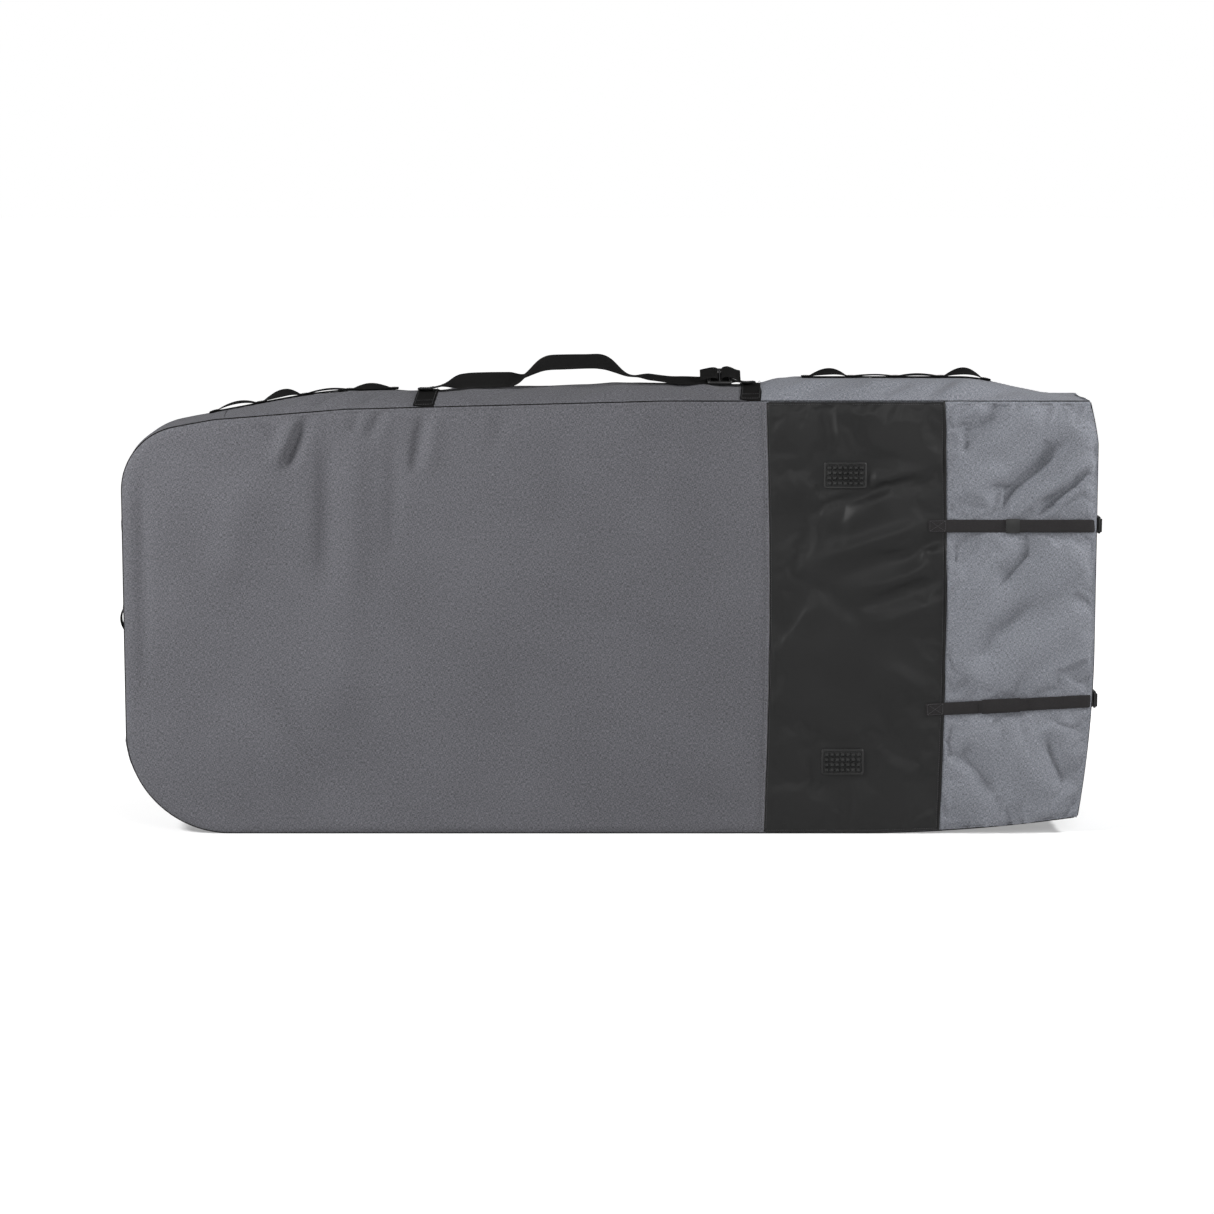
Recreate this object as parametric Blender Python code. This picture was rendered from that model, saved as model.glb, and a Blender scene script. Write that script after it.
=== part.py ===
"""Long padded board bag, packed and standing on its long bottom gusset.

Metres, +Z up.  +X runs from the rounded nose to the square tail, -Y is the broad face
that carries the wear panel and the skid pads, +Y is the back face with the zipped lid.
The origin is on the floor under the middle of the bag.
"""
import math

import bmesh
import bpy
import numpy as np
from mathutils import Matrix

# ---------------------------------------------------------------- driving dimensions
LENGTH = 1.778                # nose to tail of the shell
HEIGHT = 0.800                # floor to the top seam
DEPTH = 0.200                 # front face to back face
GAP = 0.0003                  # between pieces that touch
SEAM = 0.0006                 # between panels sewn edge to edge

FABRIC = 0.0015               # outer fabric
FOAM = 0.006                  # padding behind the broad faces
LINING = 0.001                # inner lining
GUSSET = 0.004                # gusset fabric with its padding
PAD_CLEARANCE = 0.0025        # between the padding's edge and the gusset
WEBBING = 0.002               # strap thickness
STRAP_WIDTH = 0.025           # compression straps, daisy chains, inner straps
BAND_WIDTH = 0.038            # handle bands and carry strap
BAND_CLEARANCE = 0.0012       # between the bands and the bulge under them
BAND_EDGE = 0.004             # the bands' ends stay this far inside the faces

NOSE_DROP = 0.065             # top corner of the nose below the top seam
NOSE_TOP_RADIUS = 0.120
NOSE_LOW_RADIUS = 0.190
NOSE_SHOULDER = 0.169         # nose to the first bend of the top seam
NOSE_SHOULDER_DROP = 0.034
NOSE_JOIN_TOP = 0.020         # first bend of the top seam to the nose gusset's upper end
NOSE_JOIN_LOW = 0.010         # end of the lower curve to the nose gusset's lower end
NOSE_SLOPE = 0.409            # nose to the second bend of the top seam
NOSE_SLOPE_DROP = 0.015
TOP_BEND = 0.789              # tail to the point where the top seam turns level
TAIL_LIFT = 0.034             # height of the tail's lower edge above the floor
TAIL_RISE = 0.439             # length over which the lower edge rises
TAIL_TOP_CUT = 0.016          # the end panel leans in at its top
TAIL_TOP_CUT_HEIGHT = 0.080
TAIL_LOW_CUT = 0.030          # the end panel leans in at its foot
TAIL_LOW_CUT_HEIGHT = 0.350

CROWN_MAIN = 0.027            # bulge of the top gusset between nose and handle
CROWN_TAIL = 0.036            # bulge of the top gusset over the wear panel
CROWN_NOSE = 0.004            # bulge of the nose gusset
CROWN_NOSE_START = 0.090      # nose to the point where the top bulge starts to grow
CROWN_NOSE_RUN = 0.300        # length over which it grows
CROWN_STEP_RUN = 0.060        # length over which the bulge steps up past the tail side band
CROWN_NOSE_TOP = 0.100        # nose to the point where the nose gusset takes the top bulge
CROWN_NOSE_FOOT = 0.200       # height over which the nose gusset's bulge grows from the floor
CROWN_TAIL_START = 0.240      # tail to the point where the top bulge starts to fall
CROWN_TAIL_END = 0.085        # tail to the point where it is flat

EXTENSION_LENGTH = 0.273      # lighter tail section
WEAR_LENGTH = 0.330           # coated wear panel
SLEEVE_LENGTH = 0.174         # the part of the tail section that gathers up
HEM_WIDTH = 0.007
PIPING_WIDTH = 0.005
PIPING_HEIGHT = 0.0012
TRIM_MARGIN = 0.002           # the trims' ends stay this far from the seams

LID_HINGE_SETBACK = 0.279     # tail to the lid's fold line
LID_HINGE_GAP = 0.010
LID_PAD_SETBACK = 0.004       # the lid's fabric reaches this far past its padding
ZIP_TAPE = 0.010
ZIP_COIL = 0.004
ZIP_COIL_HEIGHT = 0.0025
ZIP_END_SETBACK = 0.194       # tail to the closed ends of the zip

PAD_LENGTH = 0.078
PAD_HEIGHT = 0.048
PAD_BASE = 0.003
PAD_STUD = 0.004
PAD_RIM = 0.0015
PAD_COLUMNS = 7
PAD_ROWS = 4
PAD_RIM_WIDTH = 0.004
PAD_EDGE = 0.001              # rounding of the pads' rims
UPPER_PAD_DROP = 0.135        # top seam to the upper pad's middle
LOWER_PAD_RISE = 0.135        # floor to the lower pad's middle
PAD_SETBACK = 0.144           # wear panel's front edge to the pads' middle

UPPER_STRAP_DROP = 0.228      # top seam to the upper compression strap
LOWER_STRAP_RISE = 0.234      # floor to the lower compression strap at its sewn end
LOWER_STRAP_SLOPE = 0.055
STRAP_SEWN_LENGTH = 0.034     # part sewn down on the wear panel
STRAP_STAND_OFF = 0.0015      # clears the piping
KEEPER_WALL = 0.001
UPPER_KEEPER_LENGTH = 0.025
LOWER_KEEPER_LENGTH = 0.070
UPPER_KEEPER_REACH = 0.120    # wear panel's edge to the keeper's middle
LOWER_KEEPER_REACH = 0.104
STRAP_END_LENGTH = 0.022      # the strap's end piece starts this far before the tail
STRAP_FOLD = 0.003            # depth of the fold round the tail's corner
BUCKLE_LENGTH = 0.036
BUCKLE_HEIGHT = 0.031
BUCKLE_SETBACK = 0.006        # front face to the end buckle
BUCKLE_CLEARANCE = 0.0005     # between the end buckle and the webbing under it
ANCHOR_LENGTH = 0.046
ANCHOR_GAP = 0.004            # end buckle to its anchor
PROUD_X = 0.012               # what stands out past the shell at nose and tail

BAND_SETBACK = 0.030          # wear panel to the tail side band
HANDLE_SPAN = 0.594           # between the two bands
ARCH_START = 0.164            # nose side band to the arch
ARCH_LENGTH = 0.220
ARCH_RISE = 0.030             # arch above its own feet
ARCH_EASE = 0.066             # length over which the arch rises
ARCH_FOOT = 0.015             # feet above the gusset
ARCH_TILT = 42.0              # degrees, the arch turns its face forward
HANDLE_Y = -0.018
STRAP_RUN_CLEARANCE = 0.0035  # under the low runs of the carry strap
NOSE_RUN_LEVEL = 1 / 6        # share of the nose side run that lies level
TAIL_RUN_FALL = 1 / 2.2       # share of the tail side run over which it comes down
ADJUSTER_LENGTH = 0.046
ADJUSTER_WIDTH = 0.050
ADJUSTER_HEIGHT = 0.005
ADJUSTER_RAIL = 0.006         # width of the frame's four sides
ADJUSTER_BAR = 0.0022         # bar radius
ADJUSTER_BAR_SIDES = 12
ADJUSTER_SETBACK = 0.053      # tail side band to the adjuster's middle
ADJUSTER_PATH = 0.080         # length of strap along which the adjuster clears the gusset

CHAIN_PITCH = 0.083
CHAIN_TACK = 0.016
CHAIN_LOOP_RISE = 0.011
CHAIN_CLEARANCE = 0.0010      # between the chains and the crest under them
NOSE_CHAIN_SETBACK = 0.050    # nose side band to the nose chain
NOSE_CHAIN_MARGIN = 0.150     # nose to the nose chain
TAIL_CHAIN_SETBACK = 0.098    # tail side band to the tail chain
TAIL_CHAIN_MARGIN = 0.170     # tail to the tail chain
GRAB_LOOP_LENGTH = 0.074
GRAB_LOOP_RISE = 0.388        # floor to the nose loop's middle
GRAB_LOOP_TACK = 0.008

SLIDER_LENGTH = 0.016
SLIDER_WIDTH = 0.010
SLIDER_HEIGHT = 0.0035
SLIDER_PARK = 0.010           # top bend to each parked slider
PULL_LENGTH = 0.034
PULL_WIDTH = 0.008
PULL_TIP = 0.002              # rounding of the tab's free end

BOARD_STRAP_MARGIN = 0.110    # top and bottom seams to the inner straps' ends
BOARD_STRAP_SPREAD = 0.350    # middle of the bag to each inner strap
BOARD_BUCKLE_HEIGHT = 0.062
BOARD_BUCKLE_WIDTH = 0.034
BOARD_BUCKLE_DEPTH = 0.008

# ------------------------------------------------------------------- derived places
NOSE_X = -LENGTH / 2
TAIL_X = LENGTH / 2
FACE_Y = DEPTH / 2
SHELL_Y = FACE_Y - FABRIC - GAP           # gussets lie between the two faces
WEAR_X1 = TAIL_X - EXTENSION_LENGTH
WEAR_X0 = WEAR_X1 - WEAR_LENGTH
SLEEVE_X0 = TAIL_X - SLEEVE_LENGTH
PROUD_Y = GAP + PAD_BASE + PAD_STUD       # what stands out past both broad faces
HINGE_X = TAIL_X - LID_HINGE_SETBACK
BEND_X = TAIL_X - TOP_BEND
BAND_TAIL_X = WEAR_X0 - BAND_SETBACK
BAND_NOSE_X = BAND_TAIL_X - HANDLE_SPAN
GUSSET_TOP_X = NOSE_X + NOSE_SHOULDER + NOSE_JOIN_TOP
GUSSET_LOW_X = NOSE_X + NOSE_LOW_RADIUS + NOSE_JOIN_LOW
UPPER_STRAP_Z = HEIGHT - UPPER_STRAP_DROP
LID_INSET = ZIP_TAPE + ZIP_COIL + 3 * GAP         # outline to the lid's half of the zip
STRAP_Y = -FACE_Y - GAP - STRAP_STAND_OFF         # back of the compression straps


def smooth(t):
    """Ease from 0 to 1."""
    t = min(max(t, 0.0), 1.0)
    return t * t * (3.0 - 2.0 * t)


def seam_z(x):
    """Height of the top seam: level at the tail, then two gentle slopes to the nose."""
    xs = (NOSE_X, NOSE_X + NOSE_SHOULDER, NOSE_X + NOSE_SLOPE, BEND_X, TAIL_X)
    zs = (HEIGHT - NOSE_DROP, HEIGHT - NOSE_SHOULDER_DROP, HEIGHT - NOSE_SLOPE_DROP, HEIGHT, HEIGHT)
    return float(np.interp(x, xs, zs))


def base_z(x):
    """Height of the lower edge: flat on the floor, then rising in a curve to the tail."""
    return TAIL_LIFT * max(0.0, (x - (TAIL_X - TAIL_RISE)) / TAIL_RISE) ** 2


def tail_x(z):
    """Place of the end panel's outer face at a height."""
    top = max(0.0, (z - (HEIGHT - TAIL_TOP_CUT_HEIGHT)) / TAIL_TOP_CUT_HEIGHT)
    low = max(0.0, 1.0 - z / TAIL_LOW_CUT_HEIGHT)
    return TAIL_X - TAIL_TOP_CUT * top ** 1.3 - TAIL_LOW_CUT * low ** 2


def crown(x):
    """Bulge of the top gusset above its seams, at mid depth."""
    rise = smooth((x - NOSE_X - CROWN_NOSE_START) / CROWN_NOSE_RUN)
    fall = smooth((TAIL_X - CROWN_TAIL_END - x) / (CROWN_TAIL_START - CROWN_TAIL_END))
    step = smooth((x - BAND_TAIL_X) / CROWN_STEP_RUN)
    nose = CROWN_NOSE * (1.0 - rise)
    return nose + rise * fall * (CROWN_MAIN + (CROWN_TAIL - CROWN_MAIN) * step)


def crest_z(x, y=0.0):
    """Top surface of the top gusset."""
    return seam_z(x) + crown(x) * (1.0 - (y / SHELL_Y) ** 2)


def nose_bulge(x, z):
    """Bulge of the nose gusset: none at the floor, and the top gusset's own past its corner."""
    if x > NOSE_X + CROWN_NOSE_TOP and z > HEIGHT / 2:
        return crown(x)
    return CROWN_NOSE * smooth(z / CROWN_NOSE_FOOT)


# ------------------------------------------------------------------------- materials
def material(name, colour, roughness, metallic=0.0):
    """A plain Principled finish."""
    found = bpy.data.materials.get(name)
    if found:
        return found
    made = bpy.data.materials.new(name)
    made.use_nodes = True
    shader = made.node_tree.nodes["Principled BSDF"]
    shader.inputs["Base Color"].default_value = (*colour, 1.0)
    shader.inputs["Roughness"].default_value = roughness
    shader.inputs["Metallic"].default_value = metallic
    made.diffuse_color = (*colour, 1.0)
    return made


HEATHER = ("heather_fabric", (0.105, 0.105, 0.115), 0.90)
LIGHT_HEATHER = ("light_heather_fabric", (0.25, 0.26, 0.29), 0.88)
COATED = ("coated_fabric", (0.020, 0.020, 0.021), 0.50)
WEB = ("black_webbing", (0.016, 0.015, 0.016), 0.75)
RUBBER = ("black_rubber", (0.012, 0.012, 0.012), 0.60)
PLASTIC = ("black_plastic", (0.014, 0.014, 0.014), 0.40)
STEEL = ("bar_steel", (0.50, 0.50, 0.52), 0.30, 1.0)
LINER = ("lining_cloth", (0.030, 0.030, 0.032), 0.80)
FOAM_SHEET = ("foam_sheet", (0.60, 0.60, 0.58), 0.95)
COIL = ("zip_coil", (0.010, 0.010, 0.010), 0.45)


# ------------------------------------------------------------------- mesh construction
def add_object(name, vertices, faces, finish, smooth_angle=None, origin=(0.0, 0.0, 0.0)):
    """Make one named object whose origin is at the given place."""
    offset = np.array(origin)
    mesh = bpy.data.meshes.new(name)
    mesh.from_pydata([tuple(np.array(v) - offset) for v in vertices], [], faces)
    work = bmesh.new()
    work.from_mesh(mesh)
    bmesh.ops.recalc_face_normals(work, faces=work.faces[:])
    if work.calc_volume(signed=True) < 0:
        bmesh.ops.reverse_faces(work, faces=work.faces[:])
    work.to_mesh(mesh)
    work.free()
    if smooth_angle is not None:
        mesh.shade_smooth()
        mesh.set_sharp_from_angle(angle=math.radians(smooth_angle))
    made = bpy.data.objects.new(name, mesh)
    made.location = origin
    made.data.materials.append(material(*finish))
    bpy.context.scene.collection.objects.link(made)
    return made


def sheet_solid(outer, inner):
    """Vertices and faces of the wall between two grids of the same rows and columns."""
    outer, inner = np.asarray(outer, float), np.asarray(inner, float)
    rows, columns = outer.shape[:2]
    count = rows * columns
    vertices = np.concatenate([outer.reshape(-1, 3), inner.reshape(-1, 3)])
    index = np.arange(count).reshape(rows, columns)
    faces = []
    for r in range(rows - 1):
        for c in range(columns - 1):
            quad = (index[r, c], index[r, c + 1], index[r + 1, c + 1], index[r + 1, c])
            faces.append(tuple(int(i) for i in quad))
            faces.append(tuple(int(i) + count for i in reversed(quad)))
    rim = list(index[0, :]) + list(index[1:, -1]) + list(index[-1, -2::-1]) + list(index[-2:0:-1, 0])
    for a, b in zip(rim, rim[1:] + rim[:1]):
        faces.append((int(b), int(a), int(a) + count, int(b) + count))
    return vertices, faces


def plate(name, outline, y0, y1, finish):
    """Extrude an outline in the X-Z plane between two depths."""
    count = len(outline)
    vertices = [(x, y0, z) for x, z in outline] + [(x, y1, z) for x, z in outline]
    faces = [tuple(range(count)), tuple(range(2 * count - 1, count - 1, -1))]
    faces += [(i, i + count, (i + 1) % count + count, (i + 1) % count) for i in range(count)]
    return add_object(name, vertices, faces, finish)


def box(name, low, high, finish, origin=(0.0, 0.0, 0.0)):
    """A plain block between two corners."""
    (x0, y0, z0), (x1, y1, z1) = low, high
    outer = [[(x0, y0, z1), (x0, y1, z1)], [(x1, y0, z1), (x1, y1, z1)]]
    inner = [[(x0, y0, z0), (x0, y1, z0)], [(x1, y0, z0), (x1, y1, z0)]]
    return add_object(name, *sheet_solid(outer, inner), finish, origin=origin)


def ribbon(name, path, width, thickness, finish, tilt=None, origin=(0.0, 0.0, 0.0)):
    """A flat strap along a path, its face turned about the path by the tilt in degrees."""
    path = np.asarray(path, float)
    tangent = np.gradient(path, axis=0)
    tangent /= np.linalg.norm(tangent, axis=1)[:, None]
    across = np.tile((0.0, 1.0, 0.0), (len(path), 1))
    across -= tangent * np.sum(across * tangent, axis=1)[:, None]
    across /= np.linalg.norm(across, axis=1)[:, None]
    normal = np.cross(tangent, across)
    turn = np.radians(np.zeros(len(path)) if tilt is None else np.asarray(tilt))[:, None]
    side = np.cos(turn) * across + np.sin(turn) * normal
    face = np.cross(tangent, side)
    outer = np.stack([path - side * width / 2, path + side * width / 2], axis=1)
    inner = outer - face[:, None, :] * thickness
    return add_object(name, *sheet_solid(outer, inner), finish, origin=origin)


def inset(path, distance):
    """Move a polyline in the X-Z plane to its left by a distance."""
    path = np.asarray(path, float)
    tangent = np.gradient(path, axis=0)
    tangent /= np.linalg.norm(tangent, axis=1)[:, None]
    return path + np.stack([-tangent[:, 1], tangent[:, 0]], axis=1) * distance


def arc(corner, before, after, radius, steps):
    """Round a corner of the X-Z outline with an arc that touches both straight sides."""
    corner, before, after = (np.asarray(p, float) for p in (corner, before, after))
    a = (before - corner) / np.linalg.norm(before - corner)
    b = (after - corner) / np.linalg.norm(after - corner)
    half = math.acos(float(np.clip(a @ b, -1, 1))) / 2
    middle = corner + (a + b) / np.linalg.norm(a + b) * radius / math.sin(half)
    start = corner + a * radius / math.tan(half) - middle
    end = corner + b * radius / math.tan(half) - middle
    sweep = math.atan2(start[0] * end[1] - start[1] * end[0], start @ end)
    turn = [sweep * i / steps for i in range(steps + 1)]
    return [(middle[0] + start[0] * math.cos(t) - start[1] * math.sin(t),
             middle[1] + start[0] * math.sin(t) + start[1] * math.cos(t)) for t in turn]


def top_line(x_from, x_to, steps):
    """Points along the top seam."""
    return [(x, seam_z(x)) for x in np.linspace(x_from, x_to, steps + 1)]


def nose_line(steps=9):
    """Points from the top seam round the nose to the floor."""
    top = (NOSE_X, HEIGHT - NOSE_DROP)
    low = (NOSE_X, 0.0)
    shoulder = (NOSE_X + NOSE_SHOULDER, HEIGHT - NOSE_SHOULDER_DROP)
    upper = arc(top, shoulder, low, NOSE_TOP_RADIUS, steps)
    lower = arc(low, top, (0.0, 0.0), NOSE_LOW_RADIUS, steps)
    middle = [(NOSE_X, float(z)) for z in np.linspace(upper[-1][1], lower[0][1], 8)[1:-1]]
    return upper + middle + lower


def low_line(x_from, x_to, steps):
    """Points along the lower edge."""
    return [(x, base_z(x)) for x in np.linspace(x_from, x_to, steps + 1)]


def ring_line(x_end):
    """Whole U of the outline: from the tail along the top, round the nose, back along the floor."""
    top = top_line(x_end, BEND_X, 4) + top_line(BEND_X, NOSE_X + NOSE_SLOPE, 3)[1:]
    top += [(NOSE_X + NOSE_SHOULDER, HEIGHT - NOSE_SHOULDER_DROP)]
    low = low_line(GUSSET_LOW_X, x_end, 12)
    return top + nose_line() + low


def strip_plate(name, path, near, far, y0, y1, finish):
    """A flat strip that follows a path, between two insets from it."""
    edge = inset(path, near)
    back = inset(path, far)
    outer = [[(x, y0, z) for x, z in edge], [(x, y0, z) for x, z in back]]
    inner = [[(x, y1, z) for x, z in edge], [(x, y1, z) for x, z in back]]
    return add_object(name, *sheet_solid(outer, inner), finish)


def gusset(name, path, bulges, finish):
    """A strip between the two faces that follows the outline and bulges at mid depth."""
    path = np.asarray(path, float)
    depth = np.linspace(-1.0, 1.0, 9)
    out = inset(path, -1.0) - path
    grids = []
    for shift in (0.0, -GUSSET):
        rows = []
        for v in depth:
            place = path + out * (np.asarray(bulges)[:, None] * (1.0 - v * v) + shift)
            rows.append([(x, v * SHELL_Y, z) for x, z in place])
        grids.append(rows)
    return add_object(name, *sheet_solid(*grids), finish, smooth_angle=40)


# ---------------------------------------------------------------------------- shell
def face_outline(x_to, margin=0.0):
    """Outline of a broad face from the nose to a cut, drawn in by a margin on the seams."""
    path = ring_line(x_to)
    edge = inset(path, margin) if margin else np.asarray(path)
    edge[0, 0] = edge[-1, 0] = x_to
    return [tuple(p) for p in edge]


def band_outline(x_from, x_to, steps=6, margin=0.0):
    """Outline of the part of a face between two upright cuts."""
    top = [(x, z - margin) for x, z in top_line(x_to, x_from, steps)]
    low = [(x, z + margin) for x, z in low_line(x_from, x_to, steps)]
    return top + low


def build_faces():
    """Outer fabric of the two broad faces that stays with the shell."""
    front = (-FACE_Y, -FACE_Y + FABRIC)
    back = (FACE_Y - FABRIC, FACE_Y)
    plate("front_panel", face_outline(WEAR_X0 - SEAM / 2), *front, HEATHER)
    plate("wear_panel", band_outline(WEAR_X0 + SEAM / 2, WEAR_X1 - SEAM / 2), *front, COATED)
    plate("extension_front", band_outline(WEAR_X1 + SEAM / 2, SLEEVE_X0), *front, LIGHT_HEATHER)
    fixed = band_outline(HINGE_X + LID_HINGE_GAP / 2, SLEEVE_X0, margin=LID_INSET + PAD_CLEARANCE)
    plate("rear_fixed_panel", fixed, *back, LIGHT_HEATHER)


def build_trims():
    """Hem tape in front of the wear panel and the piping behind it."""
    proud = -FACE_Y - GAP
    hem = band_outline(WEAR_X0 - HEM_WIDTH - SEAM, WEAR_X0 - SEAM, 2, TRIM_MARGIN)
    plate("wear_panel_hem_tape", hem, proud - LINING, proud, HEATHER)
    piping = band_outline(WEAR_X1 - PIPING_WIDTH + SEAM, WEAR_X1 + SEAM, 2, TRIM_MARGIN)
    plate("wear_panel_piping", piping, proud - PIPING_HEIGHT, proud, COATED)


def build_padding():
    """Foam and lining behind the front face."""
    margin = GUSSET + PAD_CLEARANCE
    foam_y = -FACE_Y + FABRIC + GAP
    lining_y = foam_y + FOAM + GAP
    plate("front_foam_pad", face_outline(WEAR_X1, margin), foam_y, foam_y + FOAM, FOAM_SHEET)
    plate("front_lining", face_outline(SLEEVE_X0, margin), lining_y, lining_y + LINING, LINER)
    return lining_y + LINING


def build_gussets():
    """Top gusset in two lengths, nose gusset and bottom gusset."""
    half = SEAM / 2
    tail_run = [(x, seam_z(x)) for x in np.linspace(SLEEVE_X0, BAND_TAIL_X + half, 13)]
    main_x = list(np.linspace(BAND_TAIL_X - half, BEND_X, 4))
    main_x += list(np.linspace(BEND_X, NOSE_X + NOSE_SLOPE, 7))[1:]
    main_x += list(np.linspace(NOSE_X + NOSE_SLOPE, GUSSET_TOP_X + half, 5))[1:]
    main_run = [(x, seam_z(x)) for x in main_x]
    gusset("top_gusset_tail", tail_run, [crown(x) for x, _ in tail_run], LIGHT_HEATHER)
    gusset("top_gusset_main", main_run, [crown(x) for x, _ in main_run], HEATHER)
    nose_run = [(GUSSET_TOP_X - half, seam_z(GUSSET_TOP_X - half))] + nose_line()
    nose_run += [(GUSSET_LOW_X - half, 0.0)]
    gusset("nose_gusset", nose_run, [nose_bulge(x, z) for x, z in nose_run], HEATHER)
    low_run = [(GUSSET_LOW_X + half, 0.0)] + low_line(TAIL_X - TAIL_RISE, SLEEVE_X0, 6)
    gusset("bottom_gusset", low_run, [0.0] * len(low_run), HEATHER)


# ------------------------------------------------------------------------------- tail
def tube_loop(x, shrink):
    """Points round the bag's section at one place, drawn in by a wall."""
    depth = np.linspace(-1.0, 1.0, 9)
    y_reach = FACE_Y - shrink
    low, high = base_z(x) + shrink, seam_z(x) - shrink
    loop = [(x, v * y_reach, high + crown(x) * (1.0 - v * v)) for v in depth]
    loop += [(x, y_reach, z) for z in np.linspace(high, low, 7)[1:-1]]
    loop += [(x, -v * y_reach, low) for v in depth]
    loop += [(x, -y_reach, z) for z in np.linspace(low, high, 7)[1:-1]]
    return loop


def build_tail():
    """Gathering sleeve of the tail section and the end panel that closes it."""
    steps = 7
    rings = []
    for shrink in (0.0, FABRIC):
        for t in np.linspace(0.0, 1.0, steps):
            base = tube_loop(SLEEVE_X0 + GAP + t * (TAIL_X - SLEEVE_X0), shrink)
            end = [tail_x(z) - FABRIC - GAP for _, _, z in base]
            rings.append([(SLEEVE_X0 + GAP + t * (e - SLEEVE_X0 - GAP), y, z)
                          for (_, y, z), e in zip(base, end)])
    count = len(rings[0])
    vertices = [v for ring in rings for v in ring]
    faces = []

    def join(a, b):
        for i in range(count):
            j = (i + 1) % count
            faces.append((a * count + i, a * count + j, b * count + j, b * count + i))

    for r in range(steps - 1):
        join(r, r + 1)
        join(steps + r + 1, steps + r)
    join(steps, 0)
    join(steps - 1, 2 * steps - 1)
    add_object("extension_sleeve", vertices, faces, LIGHT_HEATHER, smooth_angle=40)

    outer, inner = [], []
    for z in np.linspace(base_z(TAIL_X - TAIL_LOW_CUT), HEIGHT, 15):
        x = tail_x(z)
        outer.append([(x, v * FACE_Y, z) for v in (-1.0, 0.0, 1.0)])
        inner.append([(x - FABRIC, v * FACE_Y, z) for v in (-1.0, 0.0, 1.0)])
    add_object("tail_end_panel", *sheet_solid(outer, inner), LIGHT_HEATHER, smooth_angle=40)


# -------------------------------------------------------------------------------- lid
def build_lid():
    """Back panel with its half of the zip tape, its foam and its lining."""
    x_to = HINGE_X - LID_HINGE_GAP / 2
    origin = (HINGE_X, FACE_Y, 0.0)
    cloth = face_outline(x_to, LID_INSET + ZIP_TAPE + GAP)
    outer = plate("lid_panel", cloth, FACE_Y - FABRIC, FACE_Y, HEATHER)
    tape = strip_plate("zipper_tape_lid", ring_line(x_to), LID_INSET, LID_INSET + ZIP_TAPE,
                       FACE_Y - FABRIC, FACE_Y, COIL)
    foam_y = FACE_Y - FABRIC - GAP
    lining_y = foam_y - FOAM - GAP
    padding = face_outline(x_to - LID_PAD_SETBACK, LID_INSET)
    foam = plate("lid_foam_pad", padding, foam_y - FOAM, foam_y, FOAM_SHEET)
    lining = plate("lid_lining", padding, lining_y - LINING, lining_y, LINER)
    hinge = bpy.data.objects.new("lid_hinge", None)
    hinge.location = origin
    bpy.context.scene.collection.objects.link(hinge)
    for piece in (outer, tape, foam, lining):
        piece.parent = hinge
        piece.matrix_parent_inverse = hinge.matrix_world.inverted()
        piece.location = tuple(-c for c in origin)


def build_zipper():
    """Shell side of the zip: tape and coil in a long U round the back face."""
    zip_end = TAIL_X - ZIP_END_SETBACK
    path = ring_line(zip_end)
    strip_plate("zipper_tape_shell", path, 0.0, ZIP_TAPE, FACE_Y - FABRIC, FACE_Y, COIL)
    near = ZIP_TAPE + GAP
    strip_plate("zipper_coil", path, near, near + ZIP_COIL, FACE_Y - FABRIC,
                FACE_Y - FABRIC + ZIP_COIL_HEIGHT, COIL)


def build_slider(side, direction, slope):
    """One slider on the top run of the zip and the pull tab hinged to it."""
    coil_drop = ZIP_TAPE + GAP + ZIP_COIL / 2
    x = BEND_X + direction * (SLIDER_PARK + SLIDER_LENGTH / 2)
    z = seam_z(x) - coil_drop
    y0 = FACE_Y - FABRIC + ZIP_COIL_HEIGHT + GAP
    plan = [(-0.5, -0.32), (-0.1, -0.5), (0.5, -0.5), (0.5, 0.5), (-0.1, 0.5), (-0.5, 0.32)]
    along = math.atan(slope)
    outline = []
    for u, w in plan:
        u = direction * u * SLIDER_LENGTH
        w *= SLIDER_WIDTH
        outline.append((x + u * math.cos(along) - w * math.sin(along), z + u * math.sin(along)
                        + w * math.cos(along)))
    plate("zip_slider_" + side, outline, y0, y0 + SLIDER_HEIGHT, PLASTIC)
    tab_y = y0 + SLIDER_HEIGHT + GAP
    tab = []
    half = PULL_WIDTH / 2
    tip = PULL_LENGTH + PULL_TIP
    for u, w in [(0.0, -half), (PULL_LENGTH, -half * 0.8), (tip, -half * 0.4),
                 (tip, half * 0.4), (PULL_LENGTH, half * 0.8), (0.0, half)]:
        u = direction * u
        tab.append((x + u * math.cos(along) - w * math.sin(along), z + u * math.sin(along)
                    + w * math.cos(along)))
    plate("zip_pull_" + side, tab, tab_y, FACE_Y + PROUD_Y, PLASTIC)


# ------------------------------------------------------------------ webbing on the shell
def build_band(side, x):
    """Webbing band over the top gusset."""
    reach = SHELL_Y - BAND_EDGE
    ys = np.linspace(-reach, reach, 11)
    grids = []
    for lift in (GAP + WEBBING, GAP):
        grids.append([[(x + u * BAND_WIDTH / 2, y, band_top(x, y) + lift) for y in ys]
                      for u in (-1.0, 0.0, 1.0)])
    add_object("handle_band_" + side, *sheet_solid(*grids), WEB, smooth_angle=40)


def band_top(x, y):
    """The highest the gusset reaches under the band at a depth, so the band never cuts it."""
    xs = np.linspace(x - BAND_WIDTH / 2, x + BAND_WIDTH / 2, 9)
    return max(crest_z(s, y) for s in xs) + BAND_CLEARANCE


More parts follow.
